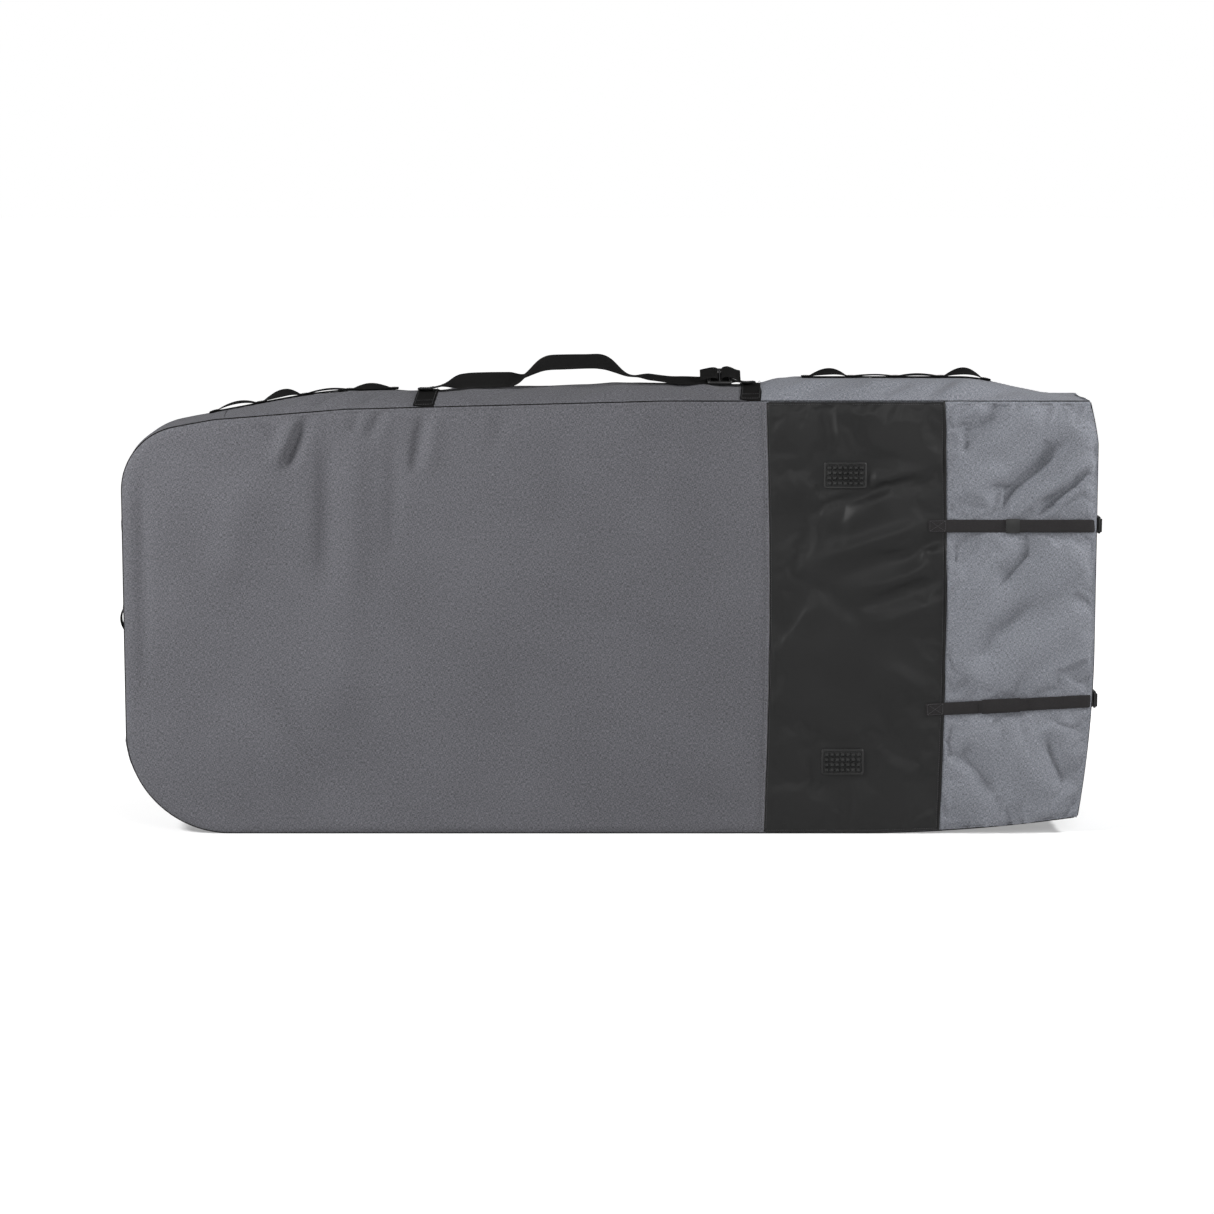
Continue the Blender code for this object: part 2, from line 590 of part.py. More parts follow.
def loop_chain(name, places, place_at, tack, rise, finish):
    """A doubled webbing: a flat base with loops that stand up between bar tacks."""
    steps = 8
    columns = []
    for start, end in places:
        for t in np.linspace(0.0, 1.0, steps + 1):
            lift = rise * math.sin(math.pi * t) ** 0.8 if 0.0 < t < 1.0 else 0.0
            columns.append((start + (end - start) * t, lift, t in (0.0, 1.0)))
    first, last = places[0][0] - tack, places[-1][1] + tack
    columns = [(first, 0.0, True)] + columns + [(last, 0.0, True)]
    vertices, rows = [], []
    for s, lift, tacked in columns:
        heights = [0.0, WEBBING / 2, WEBBING / 2 + lift, WEBBING + lift]
        row = []
        for side in (-1.0, 1.0):
            ids = []
            for k, h in enumerate(heights):
                if k == 2 and tacked:
                    ids.append(ids[1])
                    continue
                ids.append(len(vertices))
                vertices.append(place_at(s, side * STRAP_WIDTH / 2, h))
            row.append(ids)
        rows.append(row)
    faces = []
    for (near, far), (near2, far2) in zip(rows, rows[1:]):
        open_bay = near[1] != near[2] or near2[1] != near2[2]
        for k in (0, 2):
            for a, b in ((near, near2), (far2, far)):
                ring = [a[k], b[k], b[k + 1], a[k + 1]]
                faces.append(ring)
        faces.append([near[0], far[0], far2[0], near2[0]])
        faces.append([near[3], near2[3], far2[3], far[3]])
        if open_bay:
            faces.append([near[1], near2[1], far2[1], far[1]])
            faces.append([near[2], far[2], far2[2], near2[2]])
    for near, far in (rows[0], rows[-1]):
        faces.append([near[0], near[1], far[1], far[0]])
        faces.append([near[1], near[3], far[3], far[1]])
    faces = [tuple(dict.fromkeys(f)) for f in faces]
    return add_object(name, vertices, faces, finish, smooth_angle=40)


def chain_places(x_from, x_to):
    """As many loops of the chain's pitch as fit between two places."""
    count = max(1, int((x_to - x_from - CHAIN_TACK) / CHAIN_PITCH + 1e-6))
    return [(x_from + CHAIN_TACK + i * CHAIN_PITCH, x_from + (i + 1) * CHAIN_PITCH)
            for i in range(count)]


def build_chains():
    """Lash loops along the crest on both sides of the handle."""
    def on_crest(x, y, h):
        return (x, y, crest_z(x) + CHAIN_CLEARANCE + h)

    tail_start = BAND_TAIL_X + TAIL_CHAIN_SETBACK
    tail = chain_places(tail_start, TAIL_X - TAIL_CHAIN_MARGIN)
    loop_chain("daisy_chain_tail", tail, on_crest, CHAIN_TACK, CHAIN_LOOP_RISE, WEB)
    nose_end = BAND_NOSE_X - NOSE_CHAIN_SETBACK
    nose = chain_places(NOSE_X + NOSE_CHAIN_MARGIN, nose_end)
    shift = nose_end - CHAIN_TACK - nose[-1][1]
    nose = [(a + shift, b + shift) for a, b in nose]
    loop_chain("daisy_chain_nose", nose, on_crest, CHAIN_TACK, CHAIN_LOOP_RISE, WEB)


def build_grab_loop():
    """Small upright webbing loop on the nose."""
    half = GRAB_LOOP_LENGTH / 2 - GRAB_LOOP_TACK
    surface = NOSE_X - CROWN_NOSE - GAP

    def on_nose(s, y, h):
        return (surface - h, y, GRAB_LOOP_RISE + s)

    rise = PROUD_X - CROWN_NOSE - GAP - WEBBING
    loop_chain("nose_grab_loop", [(-half, half)], on_nose, GRAB_LOOP_TACK, rise, WEB)


# ------------------------------------------------------------------------ carry strap
def handle_feet():
    """X of both feet of the strap's arch."""
    start = BAND_NOSE_X + ARCH_START
    return start, start + ARCH_LENGTH


def build_carry_strap():
    """Carry strap: two low runs that stay down and the arch that swings."""
    x0, x1 = handle_feet()
    foot0 = crest_z(x0, HANDLE_Y) + ARCH_FOOT
    foot1 = crest_z(x1, HANDLE_Y) + ARCH_FOOT
    arch, tilt = [], []
    for t in np.linspace(0.0, 1.0, 17):
        ease = smooth(min(t, 1.0 - t) * ARCH_LENGTH / ARCH_EASE)
        x = x0 + GAP + t * (ARCH_LENGTH - 2 * GAP)
        arch.append((x, HANDLE_Y, foot0 + (foot1 - foot0) * t + ARCH_RISE * ease))
        tilt.append(ARCH_TILT * ease)
    ribbon("carry_strap", arch, BAND_WIDTH, WEBBING, WEB, tilt, origin=(x0, HANDLE_Y, foot0))

    low = WEBBING + STRAP_RUN_CLEARANCE
    nose_run, tail_run = [], []
    x_start = BAND_NOSE_X + BAND_WIDTH / 2 + GAP
    for t in np.linspace(0.0, 1.0, 9):
        x = x_start + (x0 - GAP - x_start) * t
        ease = smooth((t - NOSE_RUN_LEVEL) / (1.0 - NOSE_RUN_LEVEL))
        nose_run.append((x, HANDLE_Y, run_top(x) + low + (ARCH_FOOT - low) * ease))
    ribbon("carry_strap_nose_run", nose_run, BAND_WIDTH, WEBBING, WEB)
    x_end = BAND_TAIL_X - BAND_WIDTH / 2 - GAP
    for t in np.linspace(0.0, 1.0, 11):
        x = x1 + GAP + (x_end - x1 - GAP) * t
        ease = smooth(1.0 - t / TAIL_RUN_FALL)
        tail_run.append((x, HANDLE_Y, run_top(x) + low + (ARCH_FOOT - low) * ease))
    ribbon("carry_strap_tail_run", tail_run, BAND_WIDTH, WEBBING, WEB)
    build_adjuster(low)


def run_top(x):
    """Highest gusset line under the strap's width."""
    return crest_z(x, min(0.0, HANDLE_Y + BAND_WIDTH / 2))


def build_adjuster(run_height):
    """Tri-glide on the strap: a frame with a steel bar across its window."""
    middle = BAND_TAIL_X - ADJUSTER_SETBACK
    x0, x1 = middle - ADJUSTER_LENGTH / 2, middle + ADJUSTER_LENGTH / 2
    low = max(run_top(x0), run_top(x1), run_top(x0 - ADJUSTER_PATH)) + run_height + GAP
    high = low + ADJUSTER_HEIGHT
    y0, y1 = HANDLE_Y - ADJUSTER_WIDTH / 2, HANDLE_Y + ADJUSTER_WIDTH / 2
    outer = [(x0, y0), (x1, y0), (x1, y1), (x0, y1)]
    wx0, wx1, wy0, wy1 = x0 + ADJUSTER_RAIL, x1 - ADJUSTER_RAIL, y0 + ADJUSTER_RAIL, y1 - ADJUSTER_RAIL
    window = [(wx0, wy0), (wx1, wy0), (wx1, wy1), (wx0, wy1)]
    vertices = [(x, y, z) for z in (low, high) for x, y in outer + window]
    faces = []
    for i in range(4):
        j = (i + 1) % 4
        faces += [(i, j, j + 4, i + 4), (i + 8, i + 12, j + 12, j + 8)]
        faces += [(i, i + 8, j + 8, j), (i + 4, j + 4, j + 12, i + 12)]
    add_object("adjuster_frame", vertices, faces, PLASTIC, origin=(middle, HANDLE_Y, low))
    sides = ADJUSTER_BAR_SIDES
    angles = [2 * math.pi * i / sides for i in range(sides)]
    rim = [(ADJUSTER_BAR * math.cos(a), ADJUSTER_BAR * math.sin(a)) for a in angles]
    centre = low + ADJUSTER_HEIGHT / 2
    vertices = [(middle + a, y, centre + b) for y in (wy0 + GAP, wy1 - GAP) for a, b in rim]
    faces = [tuple(range(sides)), tuple(range(2 * sides - 1, sides - 1, -1))]
    faces += [(i, i + sides, (i + 1) % sides + sides, (i + 1) % sides) for i in range(sides)]
    add_object("adjuster_bar", vertices, faces, STEEL, smooth_angle=40, origin=(middle, HANDLE_Y, low))


# ------------------------------------------------------------------------- skid pads
def build_pad(name, z):
    """Rubber skid pad: raised rim and rows of pyramid studs, facing -Y."""
    x = WEAR_X0 + PAD_SETBACK

    def lines(length, count):
        half = length / 2
        inner = half - PAD_RIM_WIDTH
        cells = list(np.linspace(-inner, inner, count + 1))
        lead = [half, half - PAD_EDGE, inner + PAD_EDGE]
        return [-c for c in lead] + cells + lead[::-1]

    us, ws = lines(PAD_LENGTH, PAD_COLUMNS), lines(PAD_HEIGHT, PAD_ROWS)
    rim_us = (1, 2, len(us) - 3, len(us) - 2)
    rim_ws = (1, 2, len(ws) - 3, len(ws) - 2)
    face_y = -FACE_Y - GAP
    vertices, faces = [], []
    index = {}
    for i, u in enumerate(us):
        for j, w in enumerate(ws):
            on_edge = i in (0, len(us) - 1) or j in (0, len(ws) - 1)
            on_rim = not on_edge and (i in rim_us or j in rim_ws)
            height = PAD_BASE + (PAD_RIM if on_rim else 0.0) - (PAD_EDGE if on_edge else 0.0)
            index[i, j] = len(vertices)
            vertices.append((x + u, face_y - height, z + w))
    for i in range(len(us) - 1):
        for j in range(len(ws) - 1):
            quad = [index[i, j], index[i + 1, j], index[i + 1, j + 1], index[i, j + 1]]
            stud = 3 <= i < 3 + PAD_COLUMNS and 3 <= j < 3 + PAD_ROWS
            if not stud:
                faces.append(tuple(quad))
                continue
            top = len(vertices)
            u, w = (us[i] + us[i + 1]) / 2, (ws[j] + ws[j + 1]) / 2
            vertices.append((x + u, face_y - PAD_BASE - PAD_STUD, z + w))
            faces += [(quad[k], quad[(k + 1) % 4], top) for k in range(4)]
    last_i, last_j = len(us) - 1, len(ws) - 1
    rim = [(i, 0) for i in range(last_i)] + [(last_i, j) for j in range(last_j)]
    rim += [(i, last_j) for i in range(last_i, 0, -1)] + [(0, j) for j in range(last_j, 0, -1)]
    back = {}
    for i, j in rim:
        back[i, j] = len(vertices)
        vertices.append((x + us[i], face_y, z + ws[j]))
    for a, b in zip(rim, rim[1:] + rim[:1]):
        faces.append((index[b], index[a], back[a], back[b]))
    faces.append(tuple(back[k] for k in rim))
    add_object(name, vertices, faces, RUBBER)


# ------------------------------------------------------------------ compression straps
def strap_z(level, slope, x):
    """Middle height of a compression strap."""
    return level + slope * (x - WEAR_X1)


def build_strap(side, level, slope, keeper_reach, keeper_length):
    """One compression strap with its keeper, its end piece, its buckle and the buckle's anchor."""
    half = STRAP_WIDTH / 2
    split = TAIL_X - STRAP_END_LENGTH

    def block(name, x0, x1, y0, y1, reach, finish, origin=(0.0, 0.0, 0.0)):
        outline = [(x0, strap_z(level, slope, x0) - reach), (x1, strap_z(level, slope, x1) - reach),
                   (x1, strap_z(level, slope, x1) + reach), (x0, strap_z(level, slope, x0) + reach)]
        made = plate(name, outline, y0, y1, finish)
        made.data.transform(Matrix.Translation([-c for c in origin]))
        made.location = origin
        return made

    block(side + "_strap", WEAR_X1 - STRAP_SEWN_LENGTH, split - GAP, STRAP_Y - WEBBING, STRAP_Y, half, WEB)
    middle = WEAR_X1 + keeper_reach
    keeper_x = (middle - keeper_length / 2, middle + keeper_length / 2)
    rings = []
    for x in keeper_x:
        z = strap_z(level, slope, x)
        for grow in (GAP, GAP + KEEPER_WALL):
            y0, y1 = STRAP_Y - WEBBING - grow, STRAP_Y + grow
            rings += [[(x, y0, z - half - grow), (x, y1, z - half - grow), (x, y1, z + half + grow),
                       (x, y0, z + half + grow)]]
    vertices = [v for ring in rings for v in ring]
    faces = []
    for i in range(4):
        j = (i + 1) % 4
        faces += [(i, j, j + 4, i + 4), (i + 8, i + 12, j + 12, j + 8)]
        faces += [(i, i + 8, j + 8, j), (i + 4, j + 4, j + 12, i + 12)]
    add_object(side + "_strap_keeper", vertices, faces, WEB,
               origin=(middle, STRAP_Y, strap_z(level, slope, middle)))

    z = strap_z(level, slope, TAIL_X)
    face = max(tail_x(z - half), tail_x(z + half)) + GAP
    anchor_edge = -FACE_Y + BUCKLE_SETBACK + BUCKLE_LENGTH
    strap_end = anchor_edge - ANCHOR_GAP
    path = [(split, STRAP_Y), (face + WEBBING / 2, STRAP_Y), (face + WEBBING, STRAP_Y + STRAP_FOLD),
            (face + WEBBING, strap_end)]
    outside = face + 2 * WEBBING - BUCKLE_CLEARANCE
    skin = [(split, STRAP_Y - WEBBING), (face + WEBBING, STRAP_Y - WEBBING),
            (outside, STRAP_Y + STRAP_FOLD / 2), (outside, strap_end)]
    outer = [[(x, y, z - half) for x, y in skin], [(x, y, z + half) for x, y in skin]]
    inner = [[(x, y, z - half) for x, y in path], [(x, y, z + half) for x, y in path]]
    add_object(side + "_strap_end", *sheet_solid(outer, inner), WEB)
    low = face + 2 * WEBBING
    high = face - GAP + PROUD_X
    hinge = ((low + high) / 2, anchor_edge, z)
    reach = BUCKLE_HEIGHT / 2
    box(side + "_end_buckle", (low, anchor_edge - BUCKLE_LENGTH, z - reach),
        (high, anchor_edge, z + reach), PLASTIC, origin=hinge)
    anchor_y = anchor_edge + ANCHOR_GAP
    box(side + "_buckle_anchor", (face, anchor_y, z - half),
        (face + WEBBING, anchor_y + ANCHOR_LENGTH, z + half), WEB)


# ---------------------------------------------------------------------- inside the bag
def build_board_strap(side, x, lining_y):
    """Inner strap that holds the boards down, lying on the front lining, and its buckle."""
    y0 = lining_y + GAP
    low, high = base_z(x) + BOARD_STRAP_MARGIN, seam_z(x) - BOARD_STRAP_MARGIN
    half = STRAP_WIDTH / 2
    box("board_strap_" + side, (x - half, y0, low), (x + half, y0 + WEBBING, high), WEB)
    middle = (low + high) / 2
    reach, side_reach = BOARD_BUCKLE_HEIGHT / 2, BOARD_BUCKLE_WIDTH / 2
    y1 = y0 + WEBBING + GAP
    box("board_buckle_" + side, (x - side_reach, y1, middle - reach),
        (x + side_reach, y1 + BOARD_BUCKLE_DEPTH, middle + reach), PLASTIC)


def build():
    """Clear the scene and make every piece."""
    for old in list(bpy.data.objects):
        bpy.data.objects.remove(old, do_unlink=True)
    build_faces()
    build_trims()
    lining_y = build_padding()
    build_gussets()
    build_tail()
    build_lid()
    build_zipper()
    build_slider("tail", 1.0, 0.0)
    build_slider("nose", -1.0, NOSE_SLOPE_DROP / (BEND_X - NOSE_X - NOSE_SLOPE))
    build_band("nose", BAND_NOSE_X)
    build_band("tail", BAND_TAIL_X)
    build_chains()
    build_grab_loop()
    build_carry_strap()
    build_pad("skid_pad_upper", HEIGHT - UPPER_PAD_DROP)
    build_pad("skid_pad_lower", LOWER_PAD_RISE)
    build_strap("upper", UPPER_STRAP_Z, 0.0, UPPER_KEEPER_REACH, UPPER_KEEPER_LENGTH)
    build_strap("lower", LOWER_STRAP_RISE, LOWER_STRAP_SLOPE, LOWER_KEEPER_REACH, LOWER_KEEPER_LENGTH)
    build_board_strap("nose", -BOARD_STRAP_SPREAD, lining_y)
    build_board_strap("tail", BOARD_STRAP_SPREAD, lining_y)


build()
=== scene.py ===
"""Visual model of a long padded board bag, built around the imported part.

Laid out as an add-on: sizes and colours are properties, each piece has an operator, and a
panel in the sidebar lists them.  Metres, +X from nose to tail, -Y out of the broad face.
"""
import math

import bmesh
import bpy
import numpy as np
from bpy.props import FloatProperty, FloatVectorProperty, PointerProperty
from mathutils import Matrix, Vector


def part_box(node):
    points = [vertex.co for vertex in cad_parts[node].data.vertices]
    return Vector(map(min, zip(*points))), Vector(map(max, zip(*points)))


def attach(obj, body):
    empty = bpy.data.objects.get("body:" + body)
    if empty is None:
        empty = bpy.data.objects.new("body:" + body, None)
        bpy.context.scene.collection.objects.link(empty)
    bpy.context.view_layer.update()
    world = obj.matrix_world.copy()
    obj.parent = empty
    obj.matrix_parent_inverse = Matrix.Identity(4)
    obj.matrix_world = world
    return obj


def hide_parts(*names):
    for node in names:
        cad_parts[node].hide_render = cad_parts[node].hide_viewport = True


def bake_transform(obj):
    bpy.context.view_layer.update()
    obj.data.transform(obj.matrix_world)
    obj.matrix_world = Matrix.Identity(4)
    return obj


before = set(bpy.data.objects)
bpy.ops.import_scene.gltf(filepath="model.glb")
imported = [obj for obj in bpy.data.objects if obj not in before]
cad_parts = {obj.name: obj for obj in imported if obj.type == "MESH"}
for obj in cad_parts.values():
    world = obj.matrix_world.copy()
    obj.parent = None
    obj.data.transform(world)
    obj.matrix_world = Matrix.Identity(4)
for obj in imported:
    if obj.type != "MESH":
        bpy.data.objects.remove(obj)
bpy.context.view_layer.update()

bl_info = {
    "name": "Board bag",
    "version": (1, 0, 0),
    "blender": (4, 5, 0),
    "location": "3D View > Sidebar > Bag",
    "description": "Cloth, webbing, rubber and zip of a long padded board bag",
    "category": "Object",
}

# ------------------------------------------------------------------ places read off the frame
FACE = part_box("front_panel")
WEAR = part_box("wear_panel")
NOSE_X = FACE[0].x
TOP_Z = WEAR[1].z
FACE_Y = -FACE[0].y
SHELL_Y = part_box("top_gusset_main")[1].y
TAIL_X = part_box("tail_end_panel")[1].x
WEAR_X0 = (FACE[1].x + WEAR[0].x) / 2
WEAR_X1 = (WEAR[1].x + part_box("extension_front")[0].x) / 2
SLEEVE_X0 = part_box("extension_sleeve")[0].x
SLEEVE_X1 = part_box("upper_strap")[1].x
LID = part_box("lid_panel")
HINGE_X = (LID[1].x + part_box("rear_fixed_panel")[0].x) / 2
BAND_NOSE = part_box("handle_band_nose")
BAND_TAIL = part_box("handle_band_tail")
BAND_NOSE_X = (BAND_NOSE[0].x + BAND_NOSE[1].x) / 2
BAND_TAIL_X = (BAND_TAIL[0].x + BAND_TAIL[1].x) / 2
GUSSET_TOP_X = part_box("top_gusset_main")[0].x
GUSSET_LOW_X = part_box("bottom_gusset")[0].x
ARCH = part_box("carry_strap")
PADS = {n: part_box(n) for n in ("skid_pad_upper", "skid_pad_lower")}
STRAPS = {n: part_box(n + "_strap") for n in ("upper", "lower")}
GATHER = ((SLEEVE_X0, 0.0, 0.0), (SLEEVE_X1, 0.0, 0.0))     # the sleeve's two ends, handed to place with the pieces that span them

# ------------------------------------------------------- shape of the shell between those places
NOSE_TOP_RADIUS = 0.120
NOSE_LOW_RADIUS = 0.190
NOSE_SHOULDER = 0.169             # nose to the first bend of the top seam
TAIL_RISE = 0.439                 # length over which the lower edge rises
TAIL_TOP_CUT, TAIL_TOP_CUT_HEIGHT = 0.016, 0.080
TAIL_LOW_CUT, TAIL_LOW_CUT_HEIGHT = 0.030, 0.350
CROWN_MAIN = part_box("top_gusset_main")[1].z - TOP_Z
CROWN_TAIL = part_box("top_gusset_tail")[1].z - TOP_Z
CROWN_NOSE = 0.004
CROWN_RISE = (0.090, 0.300)       # nose to where the top bulge grows, and over what length
CROWN_FALL = (0.030, 0.215)       # tail to where it is flat, and over what length
CROWN_STEP = 0.060
WEB_THICK = 0.002
UP = (0.0, 0.0, 1.0)
FRONT = (0.0, -1.0, 0.0)
STRAP_WIDTH = 0.025
BAND_WIDTH = BAND_TAIL[1].x - BAND_TAIL[0].x
LID_MARGIN = (0.0103, 0.0149, 0.0249)       # outline to the coil, to the lid's tape, to the lid's cloth


def node_points(name):
    """Corners of a node as an array."""
    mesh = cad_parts[name].data
    co = np.zeros(len(mesh.vertices) * 3)
    mesh.vertices.foreach_get("co", co)
    return co.reshape(-1, 3)


def upper_hull(points):
    """Upper edge of the convex outline of (x, z) points, from left to right."""
    chain = []
    for p in sorted(set(map(tuple, np.round(points, 5)))):
        while len(chain) > 1:
            (ax, az), (bx, bz) = chain[-2:]
            if (bx - ax) * (p[1] - az) - (bz - az) * (p[0] - ax) < 0:
                break
            chain.pop()
        chain.append(p)
    return np.array(chain)


FACES = [node_points(n)[:, (0, 2)] for n in ("front_panel", "wear_panel", "extension_front")]
SEAM = upper_hull(np.concatenate(FACES + [[[TAIL_X, TOP_Z]]]))
TAIL_LIFT = node_points("tail_end_panel")[:, 2].min() * (TAIL_RISE / (TAIL_RISE - TAIL_LOW_CUT)) ** 2
SHOULDER = np.interp([NOSE_X + NOSE_SHOULDER, NOSE_X + NOSE_SHOULDER - 0.06], SEAM[:, 0], SEAM[:, 1])
NOSE_SLOPE = (SHOULDER[0] - SHOULDER[1]) / 0.06
LEAN = math.hypot(1.0, NOSE_SLOPE)
TOP_ARC_X = NOSE_X + NOSE_TOP_RADIUS
TOP_ARC_Z = SHOULDER[0] + NOSE_SLOPE * (TOP_ARC_X - NOSE_X - NOSE_SHOULDER) - NOSE_TOP_RADIUS * LEAN
TOP_ARC_END = TOP_ARC_X - NOSE_TOP_RADIUS * NOSE_SLOPE / LEAN


def xyz(x, y, z):
    """Points from their three coordinates, each an array or one number."""
    return np.stack(np.broadcast_arrays(x, y, z), axis=-1)


def smooth(t):
    """Ease from 0 to 1: 3 t squared less 2 t cubed."""
    t = np.clip(t, 0.0, 1.0)
    return t * t * (3.0 - 2.0 * t)


def top_z(x):
    """Height of the top seam: straight slopes, and a quarter round at the nose."""
    x = np.asarray(x, float)
    arc = TOP_ARC_Z + np.sqrt(np.maximum(NOSE_TOP_RADIUS ** 2 - (x - TOP_ARC_X) ** 2, 0.0))
    return np.where(x < TOP_ARC_END, arc, np.interp(x, SEAM[:, 0], SEAM[:, 1]))


def low_z(x):
    """Height of the lower edge: a quarter round at the nose, flat, then a parabola at the tail."""
    x = np.asarray(x, float)
    reach = NOSE_X + NOSE_LOW_RADIUS - x
    arc = NOSE_LOW_RADIUS - np.sqrt(np.maximum(NOSE_LOW_RADIUS ** 2 - reach ** 2, 0.0))
    lift = TAIL_LIFT * np.maximum(0.0, (x - TAIL_X + TAIL_RISE) / TAIL_RISE) ** 2
    return np.where(reach > 0.0, arc, lift)


def tail_x(z):
    """Place of the end panel at a height: it leans in at its top and its foot."""
    z = np.asarray(z, float)
    top = np.maximum(0.0, (z - TOP_Z + TAIL_TOP_CUT_HEIGHT) / TAIL_TOP_CUT_HEIGHT)
    low = np.maximum(0.0, 1.0 - z / TAIL_LOW_CUT_HEIGHT)
    return TAIL_X - TAIL_TOP_CUT * top ** 1.3 - TAIL_LOW_CUT * low ** 2


def crown(x):
    """Bulge of the top gusset above its seams at mid depth."""
    x = np.asarray(x, float)
    rise = smooth((x - NOSE_X - CROWN_RISE[0]) / CROWN_RISE[1])
    fall = smooth((TAIL_X - CROWN_FALL[0] - x) / CROWN_FALL[1])
    step = smooth((x - BAND_TAIL_X) / CROWN_STEP)
    return CROWN_NOSE * (1.0 - rise) + rise * fall * (CROWN_MAIN + (CROWN_TAIL - CROWN_MAIN) * step)


def edge_distance(x, z):
    """Distance from a point of a broad face to its outline, the rounds taken from their centres."""
    line = SHOULDER[0] + NOSE_SLOPE * (x - NOSE_X - NOSE_SHOULDER)
    above = np.where(x < NOSE_X + NOSE_SHOULDER, (line - z) / LEAN, top_z(x) - z)
    found = np.minimum(np.minimum(x - NOSE_X, above), z - low_z(x))
    upper = (x < TOP_ARC_X) & (z > TOP_ARC_Z)
    lower = (x < NOSE_X + NOSE_LOW_RADIUS) & (z < NOSE_LOW_RADIUS)
    found = np.where(upper, NOSE_TOP_RADIUS - np.hypot(x - TOP_ARC_X, z - TOP_ARC_Z), found)
    round_low = NOSE_LOW_RADIUS - np.hypot(x - NOSE_X - NOSE_LOW_RADIUS, z - NOSE_LOW_RADIUS)
    return np.maximum(np.where(lower, round_low, found), 0.0)


# --------------------------------------------------------------------------- folds in the cloth
def ripple(t, period, seed):
    """Irregular wave between about -1 and 1: four sines of nearby periods with seeded phases."""
    rng = np.random.default_rng(seed)
    total = np.zeros_like(np.asarray(t, float))
    for share, weight in ((1.0, 0.45), (0.62, 0.3), (1.63, 0.35), (0.41, 0.15)):
        total = total + weight * np.sin(2 * np.pi * t / (period * share) + rng.uniform(0, 2 * np.pi))
    return total


def drift(x, z, size, seed):
    """Soft two-way swell between about -1 and 1: five plane waves in seeded directions."""
    rng = np.random.default_rng(seed)
    total = np.zeros_like(np.asarray(x, float))
    for _ in range(5):
        turn, phase = rng.uniform(0, np.pi), rng.uniform(0, 2 * np.pi)
        wave = size * rng.uniform(0.7, 1.6)
        total = total + np.sin(2 * np.pi * (x * math.cos(turn) + z * math.sin(turn)) / wave + phase)
    return total / 5 ** 0.5


def fold(x, z, start, end, width, height, bow=0.0):
    """A ridge (height above 0) or a valley (below 0) along a bowed line.

    Its section is a bell of the given half width and it fades out towards both ends."""
    (ax, az), (bx, bz) = start, end
    length = math.hypot(bx - ax, bz - az)
    ux, uz = (bx - ax) / length, (bz - az) / length
    along = ((x - ax) * ux + (z - az) * uz) / length
    across = (z - az) * ux - (x - ax) * uz - 4.0 * bow * along * (1.0 - along)
    fade = smooth(along / 0.35) * smooth((1.0 - along) / 0.35)
    return height * fade * np.exp(-(across / width) ** 2)


# start, end, half width, height, bow; each in the plane of the broad face
MAIN_FOLDS = (
    ((-0.540, 0.790), (-0.592, 0.660), 0.011, -0.0050, 0.002),
    ((-0.560, 0.790), (-0.618, 0.670), 0.014, 0.0030, 0.002),
    ((-0.334, 0.790), (-0.362, 0.650), 0.012, -0.0032, 0.002),
    ((-0.310, 0.790), (-0.330, 0.660), 0.016, 0.0022, 0.0),
    ((-0.516, 0.785), (-0.524, 0.430), 0.020, -0.0030, 0.004),
    ((-0.458, 0.780), (-0.466, 0.420), 0.024, 0.0024, 0.0),
    ((-0.388, 0.780), (-0.402, 0.480), 0.018, -0.0022, 0.003),
    ((-0.080, 0.790), (-0.090, 0.520), 0.030, -0.0018, 0.0),
    ((0.080, 0.790), (0.060, 0.560), 0.026, -0.0016, 0.0),
    ((-0.408, 0.795), (-0.446, 0.722), 0.011, -0.0028, 0.002),
    ((-0.655, 0.762), (-0.590, 0.728), 0.009, -0.0020, 0.003),
    ((-0.452, 0.795), (-0.470, 0.730), 0.010, -0.0018, 0.0),
    ((-0.190, 0.800), (-0.215, 0.690), 0.015, -0.0018, 0.0),
    ((-0.853, 0.710), (-0.856, 0.220), 0.012, -0.0030, 0.003),
    ((-0.660, 0.330), (-0.480, 0.020), 0.030, -0.0025, 0.012),
    ((-0.720, 0.250), (-0.560, 0.020), 0.025, 0.0022, 0.010),
    ((-0.640, 0.690), (-0.700, 0.420), 0.040, 0.0030, -0.010),
    ((-0.480, 0.560), (-0.500, 0.120), 0.045, 0.0030, 0.0),
    ((-0.250, 0.600), (-0.230, 0.080), 0.060, 0.0024, 0.0),
)
